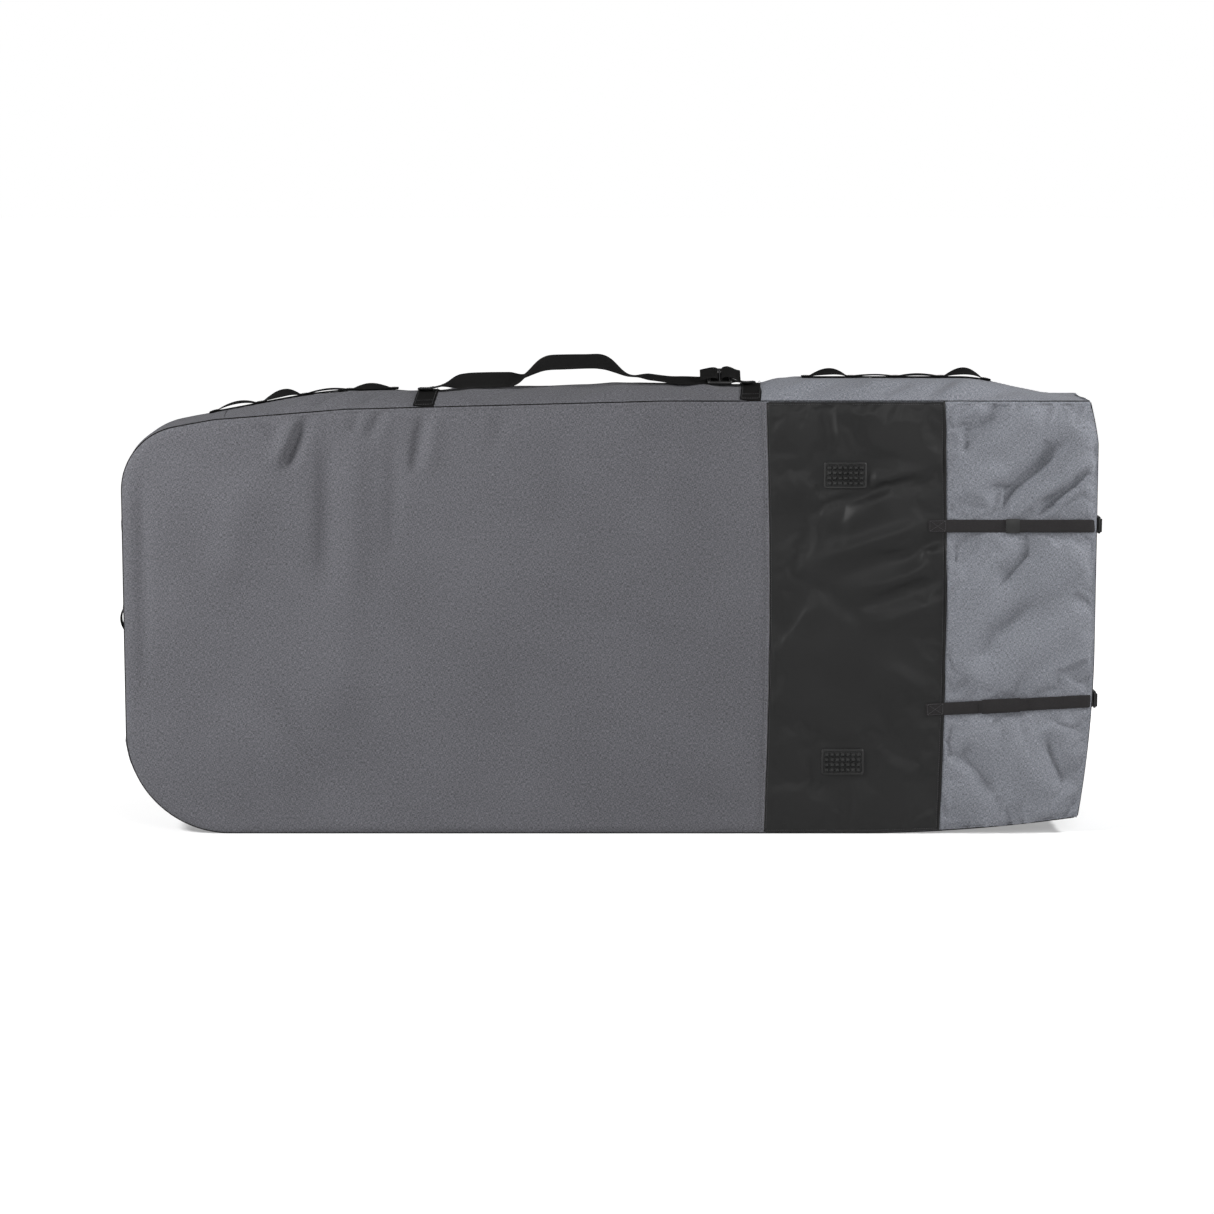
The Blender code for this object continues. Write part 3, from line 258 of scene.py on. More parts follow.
WEAR_FOLDS = (
    ((0.395, 0.800), (0.410, 0.715), 0.010, 0.0030, 0.0),
    ((0.350, 0.590), (0.620, 0.655), 0.012, -0.0042, 0.014),
    ((0.355, 0.612), (0.600, 0.672), 0.014, 0.0036, 0.012),
    ((0.425, 0.625), (0.405, 0.530), 0.016, -0.0030, 0.006),
    ((0.530, 0.655), (0.400, 0.560), 0.018, 0.0034, 0.006),
    ((0.345, 0.492), (0.630, 0.584), 0.014, 0.0046, 0.008),
    ((0.400, 0.470), (0.620, 0.545), 0.014, -0.0040, 0.006),
    ((0.480, 0.528), (0.640, 0.520), 0.012, 0.0036, 0.004),
    ((0.480, 0.505), (0.640, 0.556), 0.010, -0.0040, 0.0),
    ((0.440, 0.452), (0.620, 0.520), 0.013, 0.0046, -0.008),
    ((0.430, 0.420), (0.620, 0.486), 0.012, -0.0040, -0.010),
    ((0.470, 0.380), (0.620, 0.440), 0.014, 0.0034, 0.0),
    ((0.360, 0.470), (0.470, 0.390), 0.016, -0.0030, 0.006),
    ((0.330, 0.700), (0.345, 0.330), 0.028, -0.0028, 0.008),
    ((0.500, 0.320), (0.610, 0.250), 0.016, 0.0030, 0.0),
    ((0.480, 0.260), (0.560, 0.170), 0.018, -0.0030, 0.0),
    ((0.360, 0.250), (0.420, 0.070), 0.022, -0.0024, 0.0),
)
TAIL_FOLDS = (
    ((0.640, 0.700), (0.730, 0.800), 0.016, -0.0085, 0.006),
    ((0.625, 0.760), (0.690, 0.800), 0.012, 0.0050, 0.0),
    ((0.672, 0.690), (0.800, 0.800), 0.020, 0.0070, 0.004),
    ((0.680, 0.575), (0.860, 0.735), 0.021, -0.0115, 0.010),
    ((0.730, 0.580), (0.890, 0.700), 0.015, 0.0072, 0.004),
    ((0.755, 0.585), (0.880, 0.690), 0.013, -0.0085, -0.004),
    ((0.800, 0.650), (0.885, 0.760), 0.016, 0.0060, 0.0),
    ((0.640, 0.620), (0.720, 0.690), 0.018, 0.0050, 0.0),
    ((0.618, 0.500), (0.690, 0.560), 0.014, -0.0075, 0.0),
    ((0.690, 0.450), (0.800, 0.552), 0.017, -0.0090, 0.006),
    ((0.640, 0.430), (0.760, 0.540), 0.017, 0.0070, 0.0),
    ((0.770, 0.430), (0.885, 0.540), 0.019, 0.0065, 0.0),
    ((0.660, 0.300), (0.800, 0.440), 0.022, -0.0085, 0.008),
    ((0.740, 0.300), (0.880, 0.430), 0.020, 0.0060, 0.0),
    ((0.640, 0.180), (0.740, 0.060), 0.020, -0.0070, 0.0),
    ((0.720, 0.190), (0.820, 0.060), 0.022, 0.0060, 0.0),
    ((0.800, 0.200), (0.850, 0.070), 0.016, -0.0065, 0.0),
)
FOLD_GAIN = (2.8, 1.9, 2.1)      # depth of the folds on the main, wear and tail cloth
VALLEY = 0.0052                   # the padding keeps valleys from going deeper
EDGE_ROLL = 0.020                 # over this distance the broad faces turn in to their seams
EDGE_DROP = 0.0062
SEAM_DIP = 0.0016                 # depth of the groove along a seam
STRAP_LIFT = 0.0011               # how far cloth may stand up under a strap
PROUD = 0.0165                    # no settled fold of the tail stands further out of the face than this


def folds(x, z, listed):
    """Sum of the listed folds."""
    return sum(fold(x, z, *f) for f in listed)


def rolled(distance):
    """How far a broad face has turned in near its outline: a quarter round, then flat."""
    return EDGE_DROP * (1.0 - np.sqrt(1.0 - (1.0 - np.clip(distance / EDGE_ROLL, 0.0, 1.0)) ** 2))


def strap_run(name):
    """Start of a compression strap, its height there and its rise for each metre along the bag."""
    points = node_points(name + "_strap")
    x0, x1 = STRAPS[name][0].x, STRAPS[name][1].x
    start, end = (points[np.abs(points[:, 0] - at) < 1e-4][:, 2].mean() for at in (x0, x1))
    return x0, start, (end - start) / (x1 - x0)


STRAP_RUN = {n: strap_run(n) for n in STRAPS}


def strap_middle(name, x):
    """Middle height of a compression strap anywhere along its line."""
    x0, start, rise = STRAP_RUN[name]
    return start + rise * (np.asarray(x, float) - x0)


def away_from(box_low, box_high, x, z):
    """Distance from (x, z) to an upright rectangle, 0 inside it."""
    dx = np.maximum(np.maximum(box_low.x - x, x - box_high.x), 0.0)
    dz = np.maximum(np.maximum(box_low.z - z, z - box_high.z), 0.0)
    return np.hypot(dx, dz)


def front_relief(x, z):
    """How far the front cloth stands out from the frame's face.

    A soft swell, the folds of each zone and short puckers along the seams, all turned in at
    the outline, level under the pads and held down under the straps."""
    x, z = np.asarray(x, float), np.asarray(z, float)
    distance = edge_distance(x, z)
    main = smooth((WEAR_X0 - x) / 0.03)
    tail = smooth((x - WEAR_X1) / 0.02)
    wear = (1.0 - main) * (1.0 - tail)
    swell = main * (0.0045 * smooth(distance / 0.18) + 0.0013 * drift(x * 1.8, z * 0.8, 0.34, 3))
    swell += main * 0.0005 * drift(x, z, 0.09, 5) + wear * 0.0007 * drift(x, z, 0.10, 7)
    swell += tail * (0.0016 * drift(x + z, z - x, 0.13, 11) - 0.0010)
    shape = FOLD_GAIN[0] * main * folds(x, z, MAIN_FOLDS) + FOLD_GAIN[1] * wear * folds(x, z, WEAR_FOLDS)
    shape += FOLD_GAIN[2] * tail * folds(x, z, TAIL_FOLDS)
    near_top = np.exp(-np.maximum(top_z(x) - z, 0.0) / 0.026)
    near_low = np.exp(-np.maximum(z - low_z(x), 0.0) / 0.016)
    pucker = (main + 1.6 * tail + 0.6 * wear) * 0.0015
    shape += pucker * (near_top * ripple(x - 0.35 * z, 0.046, 21) + 0.7 * near_low * ripple(x, 0.060, 22))
    near_cut = np.exp(-np.abs(x - WEAR_X1) / 0.018) * tail + np.exp(-np.abs(x - WEAR_X0) / 0.012) * main * 0.4
    shape += 0.0022 * near_cut * ripple(z, 0.055, 23)
    total = (swell + shape) * smooth(distance / 0.012)
    deep = -VALLEY * np.tanh(np.maximum(-total, 0.0) / VALLEY)
    total = np.where(total < 0.0, deep * (1.0 - tail) + total * tail, total)
    for low, high in PADS.values():
        flat = smooth(1.0 - away_from(low, high, x, z) / 0.022)
        total = total * (1.0 - flat)
    for name in STRAPS:
        beside = np.abs(z - strap_middle(name, x)) - STRAP_WIDTH / 2
        limit = STRAP_LIFT + 0.45 * np.maximum(beside, 0.0) + 0.3 * np.maximum(STRAPS[name][0].x - x, 0.0)
        total = np.minimum(total, limit)
    cut = np.minimum(np.abs(x - WEAR_X0), np.abs(x - WEAR_X1))
    total = total - SEAM_DIP * 0.5 * np.exp(-(cut / 0.003) ** 2)
    return total - rolled(distance)


def front_point(x, z, out=0.0):
    """Points on the front cloth, moved out from it."""
    x, z = np.broadcast_arrays(np.asarray(x, float), np.asarray(z, float))
    high = np.sin(np.pi * np.clip(z / TOP_Z, 0.0, 1.0))
    drag = 0.008 * high * np.exp(-((x - WEAR_X0) / 0.09) ** 2)
    drag = drag - 0.007 * (1.0 - high) * np.exp(-((x - WEAR_X1) / 0.07) ** 2)
    return xyz(x + drag, -(FACE_Y + front_relief(x, z) + out), z)


def front_inside(x, z, depth):
    """Points on the inner side of the front padding, a depth below the face, slightly uneven."""
    return xyz(x, -(FACE_Y - depth) + 0.0003 * drift(x, z, 0.12, 27), z)


def rear_relief(x, z):
    """How far the back cloth stands out: a shallow pad of the lid, turned in at the outline."""
    distance = edge_distance(x, z)
    pad = 0.0040 * smooth((distance - LID_MARGIN[2]) / 0.12)
    soft = 0.0012 * drift(x, z, 0.30, 31) + 0.0005 * drift(x, z, 0.10, 33)
    return pad + soft * smooth((distance - LID_MARGIN[2]) / 0.03) - 0.4 * rolled(distance)


def rear_point(x, z, out=0.0):
    """Points on the back cloth, moved out from it."""
    x, z = np.broadcast_arrays(np.asarray(x, float), np.asarray(z, float))
    return xyz(x, FACE_Y + rear_relief(x, z) + out, z)


# folds of the top gusset, in the plane of x and depth share
GUSSET_FOLDS = (
    ((-0.600, -1.00), (-0.505, -0.05), 0.012, 0.0045, 0.0),
    ((-0.560, -1.00), (-0.470, -0.10), 0.010, -0.0040, 0.0),
    ((-0.532, -0.98), (-0.452, -0.08), 0.012, 0.0048, 0.0),
    ((-0.470, -1.00), (-0.410, -0.10), 0.011, -0.0042, 0.0),
    ((-0.445, -1.00), (-0.375, -0.15), 0.012, 0.0045, 0.0),
    ((-0.300, -0.98), (-0.230, -0.20), 0.016, 0.0035, 0.0),
    ((-0.262, -1.00), (-0.150, -0.20), 0.012, -0.0040, 0.0),
    ((-0.100, -1.00), (-0.020, -0.10), 0.018, -0.0030, 0.0),
    ((-0.060, -1.00), (0.060, -0.20), 0.020, 0.0030, 0.0),
    ((0.110, -0.20), (0.200, -0.95), 0.014, -0.0040, 0.0),
    ((0.150, -0.15), (0.225, -0.90), 0.012, 0.0035, 0.0),
    ((0.290, -0.95), (0.400, -0.20), 0.018, 0.0045, 0.0),
    ((0.330, -1.00), (0.440, -0.25), 0.014, -0.0045, 0.0),
    ((0.430, -1.00), (0.520, -0.20), 0.018, 0.0055, 0.0),
    ((0.480, -0.98), (0.560, -0.25), 0.014, -0.0055, 0.0),
    ((0.560, -1.00), (0.640, -0.20), 0.016, -0.0055, 0.0),
    ((0.600, -0.98), (0.690, -0.30), 0.018, 0.0060, 0.0),
    ((0.660, -1.00), (0.760, -0.40), 0.015, -0.0045, 0.0),
)
CHAIN_HALF = 0.017                # the chains and the strap keep this much of the crest clear
PINCH = 0.0038                    # how far the bands draw the gusset in
PINCH_REACH = 0.030


def gusset_relief(x, v):
    """How far the gusset stands out from its plain bulge at a place and a depth share."""
    depth_fold = sum(fold(x, v * SHELL_Y, (a[0], a[1] * SHELL_Y), (b[0], b[1] * SHELL_Y), w, h, bow)
                     for a, b, w, h, bow in GUSSET_FOLDS)
    back_fold = sum(fold(x + 0.02, -v * SHELL_Y, (a[0], a[1] * SHELL_Y), (b[0], b[1] * SHELL_Y), w, h, bow)
                    for a, b, w, h, bow in GUSSET_FOLDS)
    seam = np.exp(-(1.0 - np.abs(v)) * SHELL_Y / 0.022)
    pucker = 0.0019 * seam * ripple(x + 0.2 * v * SHELL_Y, 0.041, 41)
    swell = 0.0012 * drift(x, v * SHELL_Y, 0.12, 43)
    total = (depth_fold + back_fold + pucker + swell) * smooth((1.0 - np.abs(v)) / 0.06)
    clear = smooth(1.0 - (np.abs(v * SHELL_Y) - CHAIN_HALF) / 0.014)
    total = total * (1.0 - clear) + clear * np.minimum(total, -0.0004)
    for middle in (BAND_NOSE_X, BAND_TAIL_X):
        away = np.maximum(np.abs(x - middle) - BAND_WIDTH / 2, 0.0)
        held = np.exp(-(away / PINCH_REACH) ** 2)
        total = total * (1.0 - np.exp(-(away / 0.010) ** 2)) - PINCH * held * (1.0 - v * v)
    total = total * smooth((TAIL_X - TAIL_TOP_CUT - x) / 0.06)
    return total - SEAM_DIP * smooth((np.abs(v) - 0.93) / 0.07)


def gusset_point(x, v, out=0.0):
    """Points on the top gusset: the seam line raised by the bulge times 1 less v squared."""
    x, v = np.broadcast_arrays(np.asarray(x, float), np.asarray(v, float))
    z = top_z(x) + crown(x) * (1.0 - v * v) + gusset_relief(x, v) + out
    return xyz(x, v * (SHELL_Y - 0.002), z)


# ------------------------------------------------------------------------------ mesh building
def unit(v):
    """Vectors scaled to length 1."""
    return v / np.linalg.norm(v, axis=-1, keepdims=True)


def eased(wave, power):
    """Values between -1 and 1 raised to a power, their sign kept: below 1 it squares a round."""
    return np.sign(wave) * np.abs(wave) ** power


def faces_of(grid):
    """Four corners of each cell of a grid, whether numbers of points or UVs."""
    cells = np.stack([grid[:-1, :-1], grid[:-1, 1:], grid[1:, 1:], grid[1:, :-1]], axis=2)
    return cells.reshape(-1, 4, *grid.shape[2:])


def lengths(points, axis):
    """Running length along one direction of a grid of points, starting at 0."""
    step = np.linalg.norm(np.diff(points, axis=axis), axis=-1)
    zero = np.zeros_like(np.take(step, [0], axis=axis))
    return np.cumsum(np.concatenate([zero, step], axis=axis), axis=axis)


def add_piece(name, points, quads, uvs, finish, sharp=50.0):
    """Mesh object from corner points, four-cornered faces and a UV for each face corner.

    Faces are turned round together if the closed surface's signed volume is negative."""
    triangles = np.concatenate([quads[:, (0, 1, 2)], quads[:, (0, 2, 3)]])
    a, b, c = (points[triangles[:, i]] for i in range(3))
    if np.einsum("ij,ij->i", a, np.cross(b, c)).sum() < 0:
        quads, uvs = quads[:, ::-1], uvs[:, ::-1]
    mesh = bpy.data.meshes.new(name)
    mesh.vertices.add(len(points))
    mesh.vertices.foreach_set("co", points.astype(np.float32).ravel())
    mesh.loops.add(quads.size)
    mesh.loops.foreach_set("vertex_index", quads.astype(np.int32).ravel())
    mesh.polygons.add(len(quads))
    mesh.polygons.foreach_set("loop_start", np.arange(0, quads.size, 4, dtype=np.int32))
    mesh.update(calc_edges=True)
    layer = mesh.uv_layers.new(name="cloth")
    layer.uv.foreach_set("vector", uvs.astype(np.float32).ravel())
    mesh.validate(verbose=False)
    mesh.shade_smooth()
    mesh.set_sharp_from_angle(angle=math.radians(sharp))
    mesh.materials.append(finish)
    made = bpy.data.objects.new(name, mesh)
    bpy.context.scene.collection.objects.link(made)
    return made


def ring_grid(rings, flat=None):
    """Corner points, faces and UVs of a closed tube through rings of points, capped at both ends.

    A ring is a closed profile with as many points going out as coming back, so each cap is a
    strip of faces between the two halves.  UVs are lengths in metres along and around, or the
    two coordinates named by flat."""
    rows, count = rings.shape[:2]
    index = np.arange(rows * count).reshape(rows, count)
    wrap = np.concatenate([index, index[:, :1]], axis=1)
    quads = [faces_of(wrap)]
    if flat:
        uv = rings[..., flat]
        uv = np.concatenate([uv, uv[:, :1]], axis=1)
    else:
        closed = np.concatenate([rings, rings[:, :1]], axis=1)
        uv = np.stack([lengths(closed, 0), lengths(closed, 1)], axis=-1)
    uvs = [faces_of(uv)]
    half = count // 2
    there, back = np.arange(half), count - 1 - np.arange(half)
    for row, order in ((0, 1), (rows - 1, -1)):
        cap = np.stack([index[row, there[1:]], index[row, there[:-1]], index[row, back[:-1]],
                        index[row, back[1:]]], axis=-1)[:, ::order]
        cap_uv = np.stack([uv[row, there[1:]], uv[row, there[:-1]], uv[row, there[:-1]],
                           uv[row, there[1:]]], axis=1)[:, ::order]
        quads.append(cap)
        uvs.append(cap_uv)
    return rings.reshape(-1, 3), np.concatenate(quads), np.concatenate(uvs)


def loop_grid(rings):
    """Corner points, faces and UVs of a ring-shaped tube: the last ring joins the first."""
    rows, count = rings.shape[:2]
    index = np.arange(rows * count).reshape(rows, count)
    wrap = np.pad(index, ((0, 1), (0, 1)), mode="wrap")
    closed = np.pad(rings, ((0, 1), (0, 1), (0, 0)), mode="wrap")
    uv = np.stack([lengths(closed, 0), lengths(closed, 1)], axis=-1)
    return rings.reshape(-1, 3), faces_of(wrap), faces_of(uv)


def sheet(name, outer, inner, finish, flat=None, sharp=50.0):
    """Cloth between an outer and an inner grid of the same size, closed along its rims."""
    rings = np.concatenate([outer, inner[:, ::-1]], axis=1)
    return add_piece(name, *ring_grid(rings, flat), finish, sharp)


def normals(grid):
    """Unit normals of a grid of points: the cross product of its two directions."""
    n = np.cross(np.gradient(grid, axis=0), np.gradient(grid, axis=1))
    return n / np.maximum(np.linalg.norm(n, axis=-1, keepdims=True), 1e-12)


def section(width, thickness, rounding=0.45, steps=7):
    """Flat strap's section: two long faces joined by rounded edges, as (across, up) pairs.

    The first half runs over the outer face and the second half comes back underneath."""
    t = np.linspace(-1.0, 1.0, steps)
    bulge = thickness / 2 * np.sqrt(np.maximum(1.0 - np.abs(t) ** 8, 0.0)) * (1.0 - rounding * np.abs(t) ** 8)
    bulge = bulge + 1e-5
    across = width / 2 * eased(t, 0.8)
    return np.stack([np.r_[across, across[::-1]], np.r_[bulge, -bulge]], axis=-1)


def strap(name, path, side, width, thickness, finish, steps=9):
    """Webbing: a flat rounded section carried along a path, its width along the side vectors."""
    path, side = np.asarray(path, float), np.asarray(side, float)
    side = np.broadcast_to(side, path.shape)
    tangent = unit(np.gradient(path, axis=0))
    side = unit(side - tangent * np.sum(side * tangent, axis=1)[:, None])
    up = np.cross(tangent, side)
    profile = section(width, thickness, steps=steps)
    rings = path[:, None] + side[:, None] * profile[None, :, :1] + up[:, None] * profile[None, :, 1:]
    return add_piece(name, *ring_grid(rings), finish, 60.0)


def round_bar(name, path, radius, finish, sides=10):
    """Round bar or bead: a circle carried along a path, its frame turned as little as possible."""
    rings = bar_rings(np.asarray(path, float), radius, sides)
    return add_piece(name, *ring_grid(rings), finish, 60.0)


def bar_rings(path, radius, sides):
    """Rings of a round bar: circles square to the path, with radii that may change along it."""
    tangent = unit(np.gradient(path, axis=0))
    guide = np.array((0.0, 1.0, 0.0)) if np.abs(tangent[:, 1]).max() < 0.9 else np.array((0.3, 0.1, 1.0))
    first = unit(guide - tangent * (tangent @ guide)[:, None])
    second = np.cross(tangent, first)
    turn = 2 * np.pi * np.arange(sides) / sides
    circle = first[:, None] * np.cos(turn)[None, :, None] + second[:, None] * np.sin(turn)[None, :, None]
    return path[:, None] + circle * np.broadcast_to(radius, (len(path),))[:, None, None]


def resample(path, spacing):
    """Points a given distance apart along a path."""
    path = np.asarray(path, float)
    run = lengths(path[:, None], 0)[:, 0]
    at = np.linspace(0.0, run[-1], max(2, int(round(run[-1] / spacing)) + 1))
    return np.stack([np.interp(at, run, path[:, i]) for i in range(path.shape[1])], axis=-1)


def curve(points, count):
    """Smooth line through a few points: a Catmull-Rom cubic between each pair."""
    p = np.asarray(points, float)
    p = np.concatenate([[2 * p[0] - p[1]], p, [2 * p[-1] - p[-2]]])
    t = np.linspace(0.0, len(points) - 1 - 1e-9, count)
    i = t.astype(int)
    f = (t - i)[:, None]
    a, b, c, d = (p[i + k] for k in range(4))
    return 0.5 * (2 * b + (c - a) * f + (2 * a - 5 * b + 4 * c - d) * f ** 2 + (3 * b - a - 3 * c + d) * f ** 3)


def stitch_row(path, lift, pitch, radius):
    """Rings of a row of stitches: short spindles end to end along a path, raised along lift.

    Each stitch's radius follows a half circle and its middle stands a little higher."""
    path = resample(path, pitch)
    lift = np.broadcast_to(np.asarray(lift, float), path[:-1].shape)
    steps, sides = 5, 5
    t = np.linspace(0.0, 1.0, steps)
    body = 0.5 - 0.41 * np.cos(np.pi * t)
    start, end = path[:-1, None], path[1:, None]
    stand = radius * np.sin(np.pi * t)
    line = start + (end - start) * body[None, :, None] + lift[:, None] * stand[None, :, None]
    along = unit(path[1:] - path[:-1])
    side = unit(np.cross(along, lift))
    up = np.cross(side, along)
    turn = 2 * np.pi * np.arange(sides) / sides
    circle = side[:, None] * np.cos(turn)[None, :, None] + up[:, None] * np.sin(turn)[None, :, None]
    wide = radius * (0.25 + 0.75 * np.sin(np.pi * t))
    return line[:, :, None] + circle[:, None] * wide[None, :, None, None]


def stitches(name, rows, finish, pitch=0.0042, radius=0.00042):
    """One object of many stitches; rows holds (path, lift) pairs."""
    blocks = [stitch_row(path, lift, pitch, radius) for path, lift in rows]
    rings = np.concatenate(blocks)
    count, steps, sides = rings.shape[:3]
    index = np.arange(count * steps * sides).reshape(count, steps, sides)
    wrap = np.concatenate([index, index[:, :, :1]], axis=2)
    tube = np.stack([wrap[:, :-1, :-1], wrap[:, :-1, 1:], wrap[:, 1:, 1:], wrap[:, 1:, :-1]], axis=-1)
    tube = tube.reshape(-1, 4)
    points = rings.reshape(-1, 3)
    uvs = np.tile(np.array([[0.0, 0.0], [0.0, 0.001], [0.001, 0.001], [0.001, 0.0]]), (len(tube), 1, 1))
    made = add_piece(name, points, tube, uvs, finish, 80.0)
    close_ends(made)
    return made


def close_ends(made):
    """Cap the open ends of an object's tubes with fans of faces."""
    work = bmesh.new()
    work.from_mesh(made.data)
    rim = [e for e in work.edges if e.is_boundary]
    bmesh.ops.holes_fill(work, edges=rim, sides=0)
    bmesh.ops.recalc_face_normals(work, faces=work.faces[:])
    work.to_mesh(made.data)
    work.free()


def join_pieces(name, parts):
    """Make one piece out of several closed ones."""
    for part in parts:
        part.select_set(False)
    with bpy.context.temp_override(active_object=parts[0], object=parts[0], selected_objects=parts,
                                   selected_editable_objects=parts):
        bpy.ops.object.join()
    parts[0].name = parts[0].data.name = name
    return parts[0]


def place(piece, body, replaces=(), across=None):
    """Tie a piece to its body, or, when across is given, only bake its transform; hide the parts it replaces."""
    if across:
        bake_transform(piece)
    else:
        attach(piece, body)
    if replaces:
        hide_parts(*replaces)
    return piece


TO_TAIL = ("tail_end", *GATHER)


# ------------------------------------------------------------------------------- cloth settling
def settle(name, grid, held, slack, pressure, frames=24, cap=0.010):
    """Run Blender's cloth on a grid of points and give back where they come to rest.

    held is 1 where the cloth is sewn down.  slack lets the cloth be that share larger than the
    grid, so it puckers; pressure fills it.  No point moves further than the cap."""
    rows, columns = grid.shape[:2]
    index = np.arange(rows * columns).reshape(rows, columns)
    mesh = bpy.data.meshes.new(name)
    mesh.from_pydata(grid.reshape(-1, 3).tolist(), [], faces_of(index).tolist())
    cloth = bpy.data.objects.new(name, mesh)
    bpy.context.scene.collection.objects.link(cloth)
    pins = cloth.vertex_groups.new(name="sewn")
    flat = held.reshape(-1)
    for weight in np.unique(np.round(flat[flat > 0.02], 2)):
        chosen = np.nonzero(np.abs(flat - weight) < 0.006)[0]
        pins.add([int(i) for i in chosen], float(weight), "REPLACE")
    modifier = cloth.modifiers.new("cloth", "CLOTH")
    settings = modifier.settings
    settings.vertex_group_mass = "sewn"
    settings.quality = 6
    settings.mass = 0.25
    settings.tension_stiffness = settings.compression_stiffness = 30.0
    settings.bending_stiffness = 1.2
    settings.shear_stiffness = 12.0
    settings.shrink_min = -slack
    settings.use_pressure = True
    settings.uniform_pressure_force = pressure
    settings.effector_weights.gravity = 0.0
    settings.time_scale = 1.0
    modifier.collision_settings.use_collision = False
    modifier.point_cache.frame_start = 1
    modifier.point_cache.frame_end = frames
    scene = bpy.context.scene
    for step in range(1, frames + 1):
        scene.frame_set(step)
    shown = cloth.evaluated_get(bpy.context.evaluated_depsgraph_get())
    moved = np.zeros(rows * columns * 3, np.float32)
    shown.data.vertices.foreach_get("co", moved)
    scene.frame_set(1)
    bpy.data.objects.remove(cloth)
    step = moved.reshape(grid.shape).astype(float) - grid
    far = np.linalg.norm(step, axis=-1, keepdims=True)
    return grid + step * np.minimum(1.0, cap / np.maximum(far, 1e-9))


# ----------------------------------------------------------------------------------- materials
class Nodes:
    """Small helper that adds linked shader nodes to one material."""

    def __init__(self, name, colour, roughness, metallic=0.0, sheen=0.0, coat=0.0, specular=0.5):
        self.material = bpy.data.materials.new(name)
        self.material.use_nodes = True
        self.tree = self.material.node_tree
        self.shader = self.tree.nodes["Principled BSDF"]
        self.shader.inputs["Base Color"].default_value = (*colour, 1.0)
        self.shader.inputs["Roughness"].default_value = roughness
        self.shader.inputs["Metallic"].default_value = metallic
        self.shader.inputs["Specular IOR Level"].default_value = specular
        self.shader.inputs["Sheen Weight"].default_value = sheen
        self.shader.inputs["Sheen Roughness"].default_value = 0.5
        self.shader.inputs["Coat Weight"].default_value = coat
        self.shader.inputs["Coat Roughness"].default_value = 0.3
        self.material.diffuse_color = (*colour, 1.0)

    def add(self, kind, inputs=None, **settings):
        """Add a node, set its attributes, and link or set its inputs."""
        made = self.tree.nodes.new("ShaderNode" + kind)
        for key, value in settings.items():
            setattr(made, key, value)
        for key, value in (inputs or {}).items():
            if isinstance(value, bpy.types.NodeSocket):
                self.tree.links.new(value, made.inputs[key])
            else:
                made.inputs[key].default_value = value
        return made

    def place_on(self, where, scale, turn=0.0):
        """Coordinates stretched by a scale along each direction: 'cloth' UVs or 'object' points."""
        if where == "cloth":
            source = self.add("UVMap", uv_map="cloth").outputs["UV"]
        else:
            source = self.add("TexCoord").outputs["Object"]
        mapping = self.add("Mapping", {"Vector": source, "Scale": scale, "Rotation": (0.0, 0.0, turn)})
        return mapping.outputs["Vector"]

    def noise(self, where, scale, detail=2.0, rough=0.5, turn=0.0):
        """Noise from 0 to 1 whose grain is 1 over the scale, in metres."""
        vector = self.place_on(where, scale, turn)
        return self.add("TexNoise", {"Vector": vector, "Scale": 1.0, "Detail": detail,
                                     "Roughness": rough}).outputs["Fac"]

    def wave(self, where, scale, axis="X", distortion=0.0):
        """Sine bands: one band for each 1 over the scale, in metres."""
        vector = self.place_on(where, scale)
        return self.add("TexWave", {"Vector": vector, "Scale": 0.314159, "Distortion": distortion,
                                    "Detail": 1.0}, bands_direction=axis).outputs["Fac"]

    def weave(self, pitch):
        """Plain weave: crossed bands with this many threads a metre."""
        scale = (pitch, pitch, 1.0)
        return self.math("MULTIPLY", self.wave("cloth", scale, "X"), self.wave("cloth", scale, "Y"))

    def math(self, what, a, b):
        """One arithmetic step."""
        return self.add("Math", {0: a, 1: b}, operation=what).outputs[0]

    def spread(self, value, low, high, to_low, to_high):
        """Map a range of values to another, smoothly."""
        return self.add("MapRange", {"Value": value, "From Min": low, "From Max": high, "To Min": to_low,
                                     "To Max": to_high}, interpolation_type="SMOOTHSTEP").outputs["Result"]

    def colours(self, value, stops):
        """Blend colours along a value from 0 to 1."""
        ramp = self.add("ValToRGB", {"Fac": value})
        elements = ramp.color_ramp.elements
        for element, (at, tint) in zip(elements, (stops[0], stops[-1])):
            element.position = at
            element.color = (*tint, 1.0)
        for at, tint in stops[1:-1]:
            elements.new(at).color = (*tint, 1.0)
        return ramp.outputs["Color"]

    def base(self, colour):
        self.tree.links.new(colour, self.shader.inputs["Base Color"])

    def rough(self, value):
        self.tree.links.new(value, self.shader.inputs["Roughness"])

    def bumps(self, *layers):
        """Chain bump layers of (height value, strength, distance in metres)."""
        normal = None
        for height, strength, distance in layers:
            inputs = {"Height": height, "Strength": strength, "Distance": distance}
            if normal is not None:
                inputs["Normal"] = normal
            normal = self.add("Bump", inputs).outputs["Normal"]
        self.tree.links.new(normal, self.shader.inputs["Normal"])


def times(colour, share):
    """A colour made darker or lighter."""
    return tuple(min(1.0, c * share) for c in colour)


